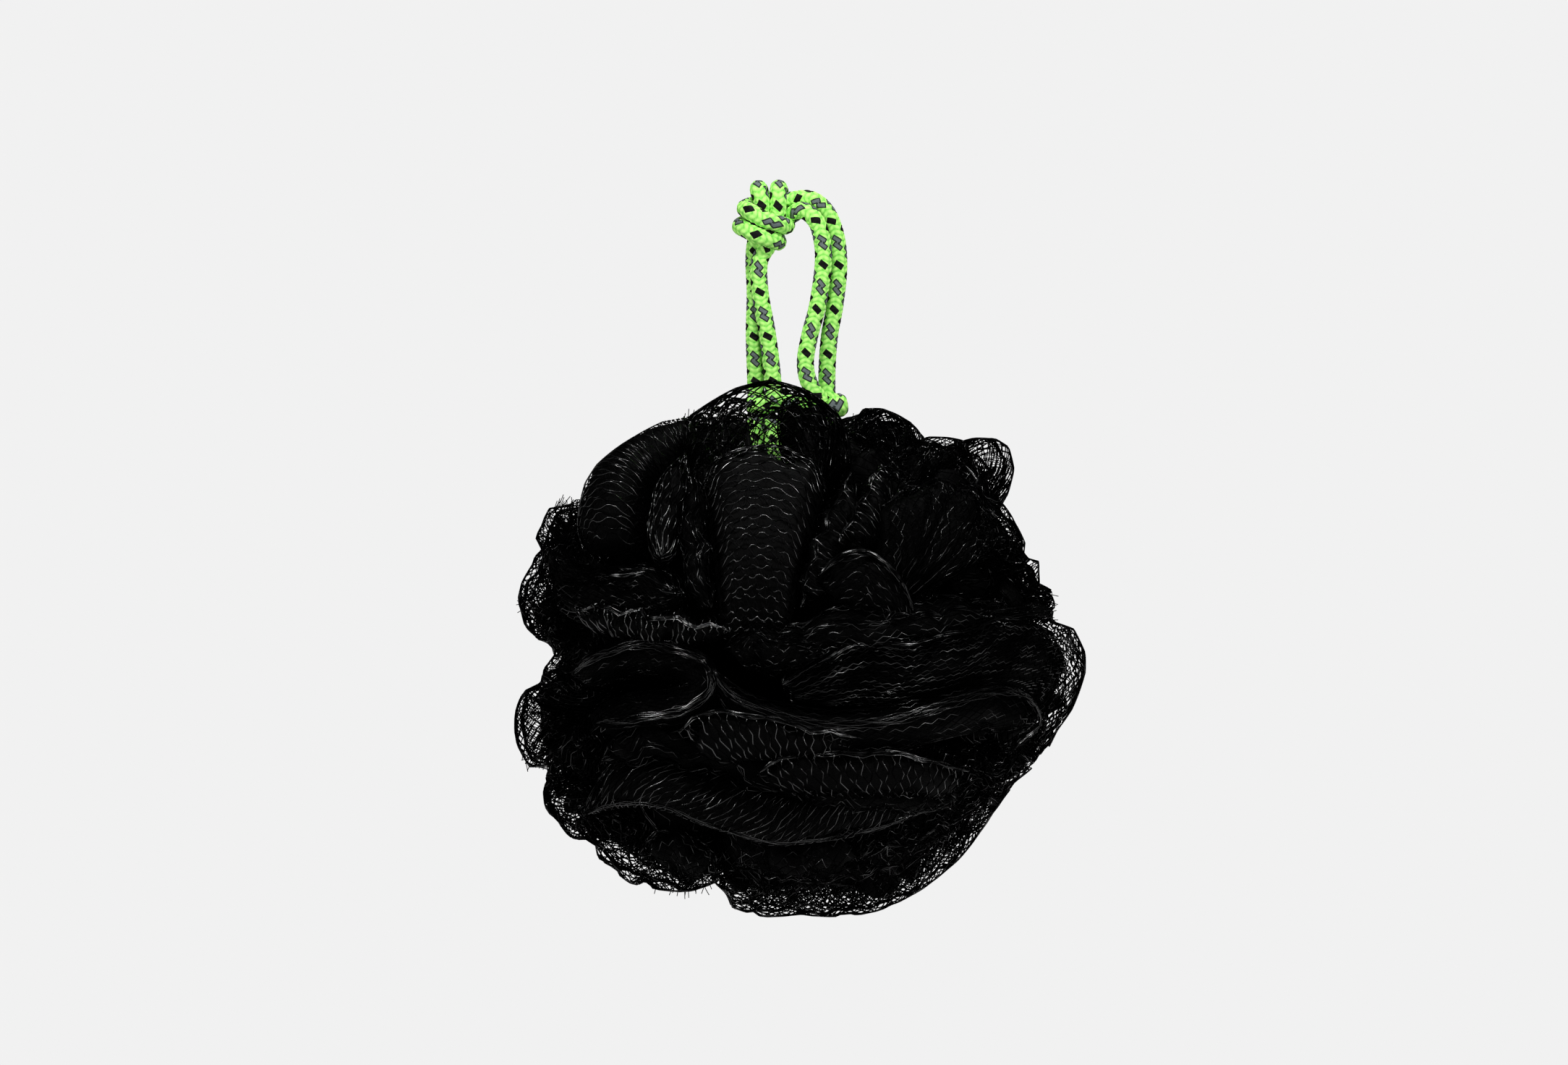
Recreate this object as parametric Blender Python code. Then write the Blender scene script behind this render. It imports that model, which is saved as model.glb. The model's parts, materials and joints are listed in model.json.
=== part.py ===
"""Bath pouf: gathered lengths of tube netting, bound at the waist with twine, on a doubled braided cord.

Metres, +Z up. The pouf hangs: the origin is the inner top of the cord loop, where a hook holds it.
+X is to the right in the photograph and +Y runs away from the camera. The bundle of netting lies
front to back, so the twine at its waist turns about an axis along Y, and the netting fans out to the
front and to the back of it.
"""
import math

import bmesh
import bpy
from mathutils import Vector
from mathutils.geometry import tessellate_polygon

# Sizes of the pouf
ball_width = 0.130
ball_height = 0.1225
ball_depth = 0.120
neck_drop = 0.0425          # hanging point down to the cord's turn at the neck
crown_depth = 0.0054        # how far that turn sits below the highest fold
seat_gap = 0.0003

# Netting
net_lengths = 6
length_gap = 0.0004         # between two neighbouring lengths
fan_gap = 0.0008            # between the front fan and the back fan
waist_radius = 0.0067       # the netting inside the twine
bore_radius = 0.0012        # the hollow the tie leaves on its own axis
groove_chamfer = 0.0012
fold_depth = 0.0110         # how far the valleys lie under the folds' crests
side_fold_depth = 0.0052    # the same on the folds round the sides
frill_depth = 0.0009        # small ripples along the folds
edge_wander = 0.0120        # how far the edge between two lengths wanders to each side on the surface
edge_waves = 3

# Twine round the waist
twine_diameter = 0.0012
twine_turns = 4
twine_pitch = 0.0016

# Braided cord
cord_diameter = 0.004
knot_cord_diameter = 0.0030  # the cord is squeezed inside the knot
strand_offset = 0.0022       # each of the two strands lies this far from the middle plane
sling_half_gap = 0.0050      # the sling's two legs at the neck, to each side of the middle
sling_clearance = 0.0004
neck_diameter = 0.0044
neck_reach_left = 0.0125
neck_reach_right = 0.0088
bulb_diameter = 0.0060
bulb_length = 0.0040
fold_limit = math.radians(50)
fold_spare = math.radians(2)
sweep_clearance = 0.0004     # round what folds and twists at the neck
well_clearance = 0.0020      # the dip round the neck is wider by this, since its facets cut its corners

# Steps of the meshes
sections = 15
front_steps = 20
turn_points = 24
straight_step = 0.008
knot_step = 0.0024
bend_step = 0.0020
bend_limit = math.radians(14)
route_samples = 24

# The photograph's outline of the netting, clockwise from its highest fold, in its pixels
outline_px = (
    (1066, 526), (1118, 547), (1173, 584), (1212, 565), (1265, 578), (1275, 610), (1328, 610),
    (1380, 610), (1401, 636), (1390, 709), (1414, 751), (1405, 790), (1435, 792), (1456, 835),
    (1479, 871), (1499, 918), (1484, 971), (1453, 1028), (1401, 1096), (1359, 1143), (1312, 1206),
    (1249, 1248), (1171, 1265), (1066, 1264), (1009, 1253), (985, 1219), (951, 1232), (904, 1224),
    (836, 1196), (820, 1162), (778, 1148), (757, 1117), (755, 1075), (778, 1044), (737, 1062),
    (715, 1018), (716, 960), (755, 924), (768, 897), (747, 884), (723, 856), (721, 814), (742, 746),
    (768, 699), (797, 704), (805, 673), (873, 615), (961, 578))
outline_left_px = 715
outline_right_px = 1499
outline_top_px = 526
outline_bottom_px = 1265
hanging_x_px = 1105

# Crests of the front folds in the same pixels: (crest points, half width, rise as a share of the depth)
front_folds_px = (
    (((1066, 560), (1040, 660), (1030, 760), (1040, 850)), 71, 1.08),
    (((815, 745), (840, 680), (890, 630), (950, 600)), 60, 1.0),
    (((930, 640), (925, 720), (935, 800)), 39, 0.9),
    (((1215, 590), (1170, 680), (1120, 790)), 46, 0.9),
    (((1330, 640), (1270, 680), (1200, 730)), 46, 0.95),
    (((1395, 770), (1300, 740), (1215, 770), (1165, 850)), 48, 1.05),
    (((1440, 840), (1340, 825), (1260, 850)), 39, 0.75),
    (((735, 800), (800, 805), (900, 835), (985, 865)), 46, 0.95),
    (((770, 930), (860, 900), (950, 905), (985, 950)), 44, 1.05),
    (((990, 930), (1060, 988), (1180, 1000), (1400, 960)), 41, 1.1),
    (((1100, 935), (1250, 895), (1400, 872), (1490, 915)), 41, 1.0),
    (((740, 1010), (850, 990), (960, 1005)), 39, 0.85),
    (((960, 1015), (1060, 1040), (1200, 1058), (1340, 1072)), 39, 0.95),
    (((780, 1100), (900, 1112), (1090, 1160), (1310, 1112)), 48, 1.05),
    (((850, 1195), (950, 1185), (1050, 1225)), 44, 0.9),
    (((1040, 1250), (1160, 1240), (1340, 1160)), 48, 0.95),
    (((1330, 1100), (1410, 1050), (1450, 1000)), 41, 0.85),
)
# The back has the same kind of folds: the front ones turned by this much, seen from behind
back_fold_turn = math.radians(140)
back_rise_share = 0.9
merge_power = 4              # how sharply one fold gives way to the next
# Folds round the sides run from front to back, a little aslant
side_start_share = 0.80
side_full_share = 0.97
side_folds = 16
side_slant = math.radians(42)
side_wander = math.radians(3)
side_round_share = 0.6
frills_round = 19
frills_twist = 4
least_neck_share = 0.5       # the dip at the neck is sought between this share of the radius and the surface
neck_steps = 14

# Routes of the two strands, neck, knot, arch and neck again, in millimetres from the hanging point
outer_route_mm = (
    (-5.8, -2.2, -40.0), (-6.1, -2.2, -36.6), (-7.3, -2.2, -26.5), (-9.0, -2.2, -16.6),
    (-9.0, -2.3, -9.6), (-6.5, -1.6, -5.3), (-5.1, -1.75, -0.2), (-4.8, -1.8, 3.7),
    (-4.8, -0.8, 6.4), (-4.7, 1.75, 7.5), (-4.2, 4.5, 6.3), (-3.0, 5.6, 3.0), (-1.2, 4.9, -0.6),
    (-0.7, 1.6, -2.5), (-1.6, -2.4, -2.8), (-4.2, -5.1, -2.0), (-8.0, -5.5, -0.6),
    (-11.6, -4.7, 1.0), (-13.6, -1.75, 1.9), (-12.0, 1.2, 2.8), (-8.6, 1.75, 3.6),
    (-5.0, 1.7, 3.7), (-2.0, 2.0, 4.3), (2.5, 2.2, 4.6), (6.0, 2.2, 2.0), (8.3, 2.2, -3.3),
    (9.1, 2.2, -10.4), (8.1, 2.2, -20.5), (7.0, 2.2, -26.5), (6.4, 2.2, -34.6), (6.4, 2.2, -40.0))
inner_route_mm = (
    (-9.9, 2.2, -40.0), (-10.0, 2.2, -36.6), (-10.3, 2.2, -26.5), (-10.1, 2.2, -16.6),
    (-10.4, 2.2, -9.6), (-10.1, 0.3, -5.6), (-9.2, -1.6, -1.8), (-8.6, -1.8, 3.7),
    (-8.6, -0.8, 6.4), (-8.5, 1.75, 7.5), (-8.1, 4.5, 6.3), (-7.0, 5.6, 2.6), (-5.1, 5.3, -2.0),
    (-2.8, 2.6, -6.1), (-2.9, -2.3, -6.9), (-5.6, -5.1, -5.9), (-9.2, -5.4, -4.2),
    (-12.2, -4.3, -2.7), (-13.5, -1.4, -1.8), (-11.8, 1.4, -0.9), (-8.6, 1.95, 0.0),
    (-5.2, 1.9, 0.0), (-2.3, 1.0, 0.5), (0.6, -1.4, 1.9), (3.8, -2.2, -0.6), (5.3, -2.2, -5.5),
    (5.5, -2.2, -10.4), (4.1, -2.2, -20.5), (2.5, -2.2, -26.5), (1.8, -2.2, -34.6),
    (2.2, -2.2, -40.0))
route_unit = 0.001
knot_first_point = 5
knot_last_point = 22

# Places that follow from the sizes
cord_radius = cord_diameter / 2
neck_radius = neck_diameter / 2
strand_end_z = -neck_drop + neck_radius + seat_gap
sling_top_z = -neck_drop - neck_radius - seat_gap
pixel_x = ball_width / (outline_right_px - outline_left_px)
pixel_z = ball_height / (outline_bottom_px - outline_top_px)
ball_centre = Vector((
    ((outline_left_px + outline_right_px) / 2 - hanging_x_px) * pixel_x,
    0,
    -neck_drop + crown_depth - ball_height / 2))
centre_x_px = (outline_left_px + outline_right_px) / 2
centre_z_px = (outline_top_px + outline_bottom_px) / 2
twine_radius = waist_radius + seat_gap + twine_diameter / 2
sling_radius = twine_radius + twine_diameter / 2 + seat_gap + cord_radius
hollow_radius = sling_radius + cord_radius + sling_clearance + groove_chamfer
hollow_half_width = strand_offset + cord_radius + sling_clearance
well_floor_z = -neck_drop - bulb_diameter / 2 - 2 * seat_gap
sweep_radius = neck_reach_right + bulb_length + sweep_clearance
sweep_half_width = strand_offset + cord_radius + sweep_clearance
well_radius = sweep_radius + well_clearance


def material(name, colour, roughness, metallic=0.0):
    made = bpy.data.materials.new(name)
    made.use_nodes = True
    shader = made.node_tree.nodes["Principled BSDF"]
    shader.inputs["Base Color"].default_value = (*colour, 1)
    shader.inputs["Roughness"].default_value = roughness
    shader.inputs["Metallic"].default_value = metallic
    return made


def add(name, data, finish, parent=None):
    piece = bpy.data.objects.new(name, data)
    parts.objects.link(piece)
    data.materials.append(finish)
    if parent:
        piece.parent = parent
        piece.matrix_parent_inverse = parent.matrix_world.inverted()
    return piece


def empty(name, place):
    made = bpy.data.objects.new(name, None)
    parts.objects.link(made)
    made.location = place
    bpy.context.view_layer.update()
    return made


def smoothstep(low, high, value):
    t = min(max((value - low) / (high - low), 0), 1)
    return t * t * (3 - 2 * t)


# The netting's surface

def outline_radius(angle):
    """How far the photographed outline lies from the ball's centre at an angle from +X towards +Z."""
    spokes = []
    for x_px, z_px in outline_px:
        x = (x_px - centre_x_px) * pixel_x
        z = (centre_z_px - z_px) * pixel_z
        spokes.append((math.atan2(z, x) % math.tau, math.hypot(x, z)))
    spokes.sort()
    spokes = [(spokes[-1][0] - math.tau, spokes[-1][1])] + spokes + [(spokes[0][0] + math.tau, spokes[0][1])]
    angle %= math.tau
    for (before, radius_before), (after, radius_after) in zip(spokes, spokes[1:]):
        if before <= angle <= after:
            t = (angle - before) / max(after - before, 1e-9)
            return radius_before + (radius_after - radius_before) * t
    return spokes[0][1]


def distance_to_line_px(point, line):
    nearest = math.inf
    for start, end in zip(line, line[1:]):
        along = (end[0] - start[0], end[1] - start[1])
        length = along[0] ** 2 + along[1] ** 2
        t = ((point[0] - start[0]) * along[0] + (point[1] - start[1]) * along[1]) / length
        t = min(max(t, 0), 1)
        away = (point[0] - start[0] - along[0] * t, point[1] - start[1] - along[1] * t)
        nearest = min(nearest, math.hypot(*away))
    return nearest


def fold_height(x, z):
    """Height above the valleys, as a share of fold_depth, of the front folds at a place seen from there."""
    spot = (centre_x_px + x / pixel_x, centre_z_px - z / pixel_z)
    total = sum((rise * math.exp(-(distance_to_line_px(spot, line) / half_width) ** 2)) ** merge_power
                for line, half_width, rise in front_folds_px)
    return total ** (1 / merge_power)


def side_height(angle, along):
    """The same for the folds round the sides, as a share of side_fold_depth."""
    turned = angle - side_wander * math.sin(3 * angle) - side_slant * along / (ball_depth / 2)
    return (0.5 + 0.5 * math.cos(side_folds * turned)) ** side_round_share


def clears_neck(x, y, z):
    """Whether a point of the netting keeps out of what folds and twists at the neck."""
    reach = math.hypot(x, y)
    if reach <= well_radius:
        return z <= well_floor_z
    side = math.sqrt(reach ** 2 - well_radius ** 2)
    limit = fold_limit + fold_spare
    slope_z = -neck_drop + (side * math.cos(limit) - sweep_half_width) / math.sin(limit)
    return z <= max(well_floor_z, slope_z)


def surface_point(angle, tilt):
    """Distance from the tie's axis and place along Y; tilt runs from 0 in front to pi behind."""
    reach = outline_radius(angle)
    out = reach * math.sin(tilt)
    along = -ball_depth / 2 * math.cos(tilt)
    rim = smoothstep(side_start_share, side_full_share, math.sin(tilt))
    turn = 0 if tilt < math.pi / 2 else back_fold_turn
    share = 1 if tilt < math.pi / 2 else back_rise_share
    mirror = 1 if tilt < math.pi / 2 else -1
    height = share * fold_height(mirror * out * math.cos(angle + turn), out * math.sin(angle + turn))
    frill = frill_depth * math.cos(frills_round * angle + frills_twist * math.cos(3 * tilt)) * math.sin(tilt)
    front_drop = (1 - height) * fold_depth - frill
    side_drop = (1 - side_height(angle, along)) * side_fold_depth
    scale = 1 - ((1 - rim) * front_drop + rim * side_drop) / math.hypot(out, along)

    def clear(scale):
        x, z = ball_centre.x + out * scale * math.cos(angle), ball_centre.z + out * scale * math.sin(angle)
        return clears_neck(x, along * scale, z)

    if not clear(scale):
        low = least_neck_share
        for _ in range(neck_steps):
            middle = (low + scale) / 2
            low, scale = (middle, scale) if clear(middle) else (low, middle)
        scale = low
    return out * scale, along * scale


def channel_reach(angle, crown_reach):
    """How far out the wide groove for the sling runs in the half-plane at this angle."""
    if math.sin(angle) <= 0:
        return hollow_radius
    side = abs(math.cos(angle))
    if side * crown_reach <= hollow_radius:
        return crown_reach
    return max(hollow_radius, min(hollow_radius / side, crown_reach))


def net_profile(angle, swing):
    """One length's section in the half-plane at this angle: front fan, waist through the twine, back fan.

    Each point is its distance from the tie's axis, its place along Y and its own angle: the edge wanders
    by swing over the outer surface and stays straight inside.
    """
    crown_reach = surface_point(angle, math.pi / 2)[0] - 3 * groove_chamfer
    groove_reach = channel_reach(angle, crown_reach)
    open_to_crown = groove_reach >= crown_reach
    half_gap = hollow_half_width if open_to_crown else fan_gap / 2
    first = math.asin(bore_radius / outline_radius(angle))
    last = math.acos(half_gap / (ball_depth / 2))
    tilts = [first + (last - first) * i / front_steps for i in range(front_steps + 1)]
    fans = []
    for side in (-1, 1):
        fan = []
        for tilt in tilts:
            own_angle = angle + swing * math.sin(edge_waves * (tilt - last)) * math.sin(tilt) * side
            out, along = surface_point(own_angle, tilt if side < 0 else math.pi - tilt)
            fan.append([out, along, own_angle])
        fan[0][0] = bore_radius
        fan[-1][1] = side * half_gap
        fans.append(fan)
    inside = (
        (groove_reach, -half_gap),
        (groove_reach - groove_chamfer, -hollow_half_width),
        (waist_radius + groove_chamfer, -hollow_half_width),
        (waist_radius, -hollow_half_width + groove_chamfer),
        (waist_radius, hollow_half_width - groove_chamfer),
        (waist_radius + groove_chamfer, hollow_half_width),
        (groove_reach - groove_chamfer, hollow_half_width),
        (groove_reach, half_gap))
    return fans[0] + [[s, y, angle] for s, y in inside] + fans[1][::-1]


def net_edge(angle, swing):
    """The face that two neighbouring lengths share: its angle, swing, profile and triangles."""
    profile = net_profile(angle, swing)
    corners = tessellate_polygon([[Vector((s, y, 0)) for s, y, _ in profile]])
    return angle, swing, profile, corners


def net_length(name, edges, finish, parent):
    """A wedge of the ball lofted between its two edges, with half the gap to its neighbours on each side."""
    mesh = bmesh.new()
    rings = []
    (start, swing, first_profile, first_corners), (end, end_swing, last_profile, last_corners) = edges
    turn = (end - start) % math.tau
    for i in range(sections):
        t = i / (sections - 1)
        profile = net_profile(start + turn * t, swing + (end_swing - swing) * t)
        if i == 0:
            profile = first_profile
        if i == sections - 1:
            profile = last_profile
        ring = []
        for s, y, own_angle in profile:
            outward = Vector((math.cos(own_angle), 0, math.sin(own_angle)))
            across = Vector((-math.sin(own_angle), 0, math.cos(own_angle)))
            shift = across * (length_gap / 2 * (1 - 2 * t))
            ring.append(mesh.verts.new(ball_centre + outward * s + shift + Vector((0, y, 0))))
        rings.append(ring)
    count = len(rings[0])
    for ring, following in zip(rings, rings[1:]):
        for i in range(count):
            j = (i + 1) % count
            mesh.faces.new((ring[i], ring[j], following[j], following[i]))
    for ring, triangles in ((rings[0], first_corners), (rings[-1], last_corners)):
        for corners in triangles:
            mesh.faces.new([ring[corner] for corner in corners])
    bmesh.ops.recalc_face_normals(mesh, faces=mesh.faces)
    data = bpy.data.meshes.new(name)
    mesh.to_mesh(data)
    mesh.free()
    data.shade_smooth()
    data.set_sharp_from_angle(angle=math.radians(50))
    return add(name, data, finish, parent)


# Cords and twine

def smooth_route(points):
    """Places along a centripetal curve through the points, each with its place in the list."""
    ends = [points[0] * 2 - points[1]] + list(points) + [points[-1] * 2 - points[-2]]
    route = []
    for i in range(1, len(ends) - 2):
        p0, p1, p2, p3 = ends[i - 1:i + 3]
        t1 = math.sqrt((p1 - p0).length)
        t2 = t1 + math.sqrt((p2 - p1).length)
        t3 = t2 + math.sqrt((p3 - p2).length)
        for step in range(route_samples):
            share = step / route_samples
            t = t1 + (t2 - t1) * share
            a1 = p0 * ((t1 - t) / t1) + p1 * (t / t1)
            a2 = p1 * ((t2 - t) / (t2 - t1)) + p2 * ((t - t1) / (t2 - t1))
            a3 = p2 * ((t3 - t) / (t3 - t2)) + p3 * ((t - t2) / (t3 - t2))
            b1 = a1 * ((t2 - t) / t2) + a2 * (t / t2)
            b2 = a2 * ((t3 - t) / (t3 - t1)) + a3 * ((t - t1) / (t3 - t1))
            route.append((b1 * ((t2 - t) / (t2 - t1)) + b2 * ((t - t1) / (t2 - t1)), i - 1 + share))
    route.append((points[-1], len(points) - 1))
    return route


def knot_share(place):
    """1 inside the knot and 0 on the open strands."""
    return min(max(place - knot_first_point + 1.5, 0), 1) * min(max(knot_last_point + 1 - place, 0), 1)


def strand_points(route_mm):
    """The strand's points, close together in the knot and further apart elsewhere, each with its radius."""
    points = [Vector(p) * route_unit for p in route_mm]
    points[0].z = strand_end_z
    points[-1].z = strand_end_z
    route = smooth_route(points)
    taken = [route[0]]
    gone = 0
    heading = route[1][0] - route[0][0]
    for before, now in zip(route, route[1:]):
        gone += (now[0] - before[0]).length
        bent = heading.angle(now[0] - before[0]) > bend_limit and gone >= bend_step
        if bent or gone >= (knot_step if knot_share(now[1]) > 0 else straight_step):
            taken.append(now)
            gone = 0
            heading = now[0] - before[0]
    if gone < straight_step / 2:
        taken.pop()
    taken.append(route[-1])
    squeeze = 1 - knot_cord_diameter / cord_diameter
    return [(place, cord_radius * (1 - squeeze * knot_share(where))) for place, where in taken]


def tube(name, points, finish, parent, resolution=2):
    """A round tube through (place, radius) points with filled caps."""
    curve = bpy.data.curves.new(name, "CURVE")
    curve.dimensions = "3D"
    curve.bevel_depth = max(radius for _, radius in points)
    curve.bevel_resolution = resolution
    curve.use_fill_caps = True
    spline = curve.splines.new("POLY")
    spline.points.add(len(points) - 1)
    for point, (place, radius) in zip(spline.points, points):
        point.co = (*place, 1)
        point.radius = radius / curve.bevel_depth
    return add(name, curve, finish, parent)


def least_gap(first, second, skip):
    """Least surface gap between two point lists; skip is the run along the tube that doesn't count."""
    least = math.inf
    for i, (place, radius) in enumerate(first):
        for j, (other, other_radius) in enumerate(second):
            if second is first and abs(i - j) <= skip:
                continue
            least = min(least, (place - other).length - radius - other_radius)
    return least


def sling_points(side):
    """From the neck down one side of the waist, round under it and up the other side."""
    y = side * strand_offset
    foot = Vector((ball_centre.x, y, ball_centre.z))
    points = []
    for lean in (-1, 1):
        top = Vector((lean * sling_half_gap, y, sling_top_z))
        below = Vector((lean * sling_half_gap, y, sling_top_z - cord_diameter))
        shoulder = foot + Vector((lean * sling_radius, 0, sling_radius / 2))
        middle = below.lerp(shoulder, 0.5)
        leg = [top, below, middle]
        points += leg if lean < 0 else []
        if lean < 0:
            for i in range(turn_points + 1):
                angle = math.pi - math.radians(20) + (math.pi + math.radians(40)) * i / turn_points
                points.append(foot + Vector((math.cos(angle), 0, math.sin(angle))) * sling_radius)
        else:
            points += reversed(leg)
    return [(place, cord_radius) for place in points]


def twine_points():
    steps = twine_turns * turn_points
    points = []
    for i in range(steps + 1):
        angle = math.tau * twine_turns * i / steps
        along = twine_pitch * twine_turns * (i / steps - 0.5)
        offset = Vector((math.cos(angle) * twine_radius, along, -math.sin(angle) * twine_radius))
        points.append((ball_centre + offset, twine_diameter / 2))
    return points


def neck_points():
    """The cord's turn under the loop: a round bar along X that swells to the folded end on the right."""
    centre = Vector((0, 0, -neck_drop))
    rounding = neck_radius / 3
    bulb = bulb_diameter / 2
    places = (
        (-neck_reach_left, neck_radius * 0.6),
        (-neck_reach_left + rounding, neck_radius * 0.9),
        (-neck_reach_left + 2 * rounding, neck_radius),
        (0, neck_radius),
        (neck_reach_right, neck_radius),
        (neck_reach_right + bulb_length * 0.2, bulb * 0.92),
        (neck_reach_right + bulb_length * 0.5, bulb),
        (neck_reach_right + bulb_length * 0.8, bulb * 0.85),
        (neck_reach_right + bulb_length, bulb * 0.5))
    return [(centre + Vector((x, 0, 0)), radius) for x, radius in places]


for old in list(bpy.data.objects):
    bpy.data.objects.remove(old, do_unlink=True)

parts = bpy.data.collections.new("bath_pouf")
bpy.context.scene.collection.children.link(parts)

net_black = material("netting", (0.012, 0.012, 0.013), 0.42)
cord_green = material("cord", (0.19, 0.86, 0.10), 0.62)
twine_black = material("twine", (0.02, 0.02, 0.02), 0.8)

neck_axis = empty("neck_axis", (0, 0, -neck_drop))

outer = strand_points(outer_route_mm)
inner = strand_points(inner_route_mm)
tube("cord_strand_outer", outer, cord_green, None)
tube("cord_strand_inner", inner, cord_green, None)
tube("neck_turn", neck_points(), cord_green, neck_axis)

for label, side in (("front", -1), ("back", 1)):
    tube("cord_sling_" + label, sling_points(side), cord_green, neck_axis)
tube("waist_twine", twine_points(), twine_black, neck_axis, resolution=1)

first_edge = math.pi / 2
wander = edge_wander / (ball_width / 2)
edges = [net_edge(first_edge + math.tau * number / net_lengths, wander * (-1) ** number)
         for number in range(net_lengths)]
for number in range(net_lengths):
    net_length("net_length_%d" % (number + 1), (edges[number], edges[(number + 1) % net_lengths]),
               net_black, neck_axis)

print("least gap between the strands %.2f mm" % (least_gap(outer, inner, 0) / route_unit))
print("least gap of the outer strand to itself %.2f mm" % (least_gap(outer, outer, 3) / route_unit))
print("least gap of the inner strand to itself %.2f mm" % (least_gap(inner, inner, 3) / route_unit))
print("least gap of the twine to itself %.2f mm" % ((twine_pitch - twine_diameter) / route_unit))
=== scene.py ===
"""Bath pouf: black knitted netting on a doubled green braided cord.

Metres, +Z up, origin at the inner top of the cord loop, +Y away from the camera.
"""
import json
import math

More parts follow.
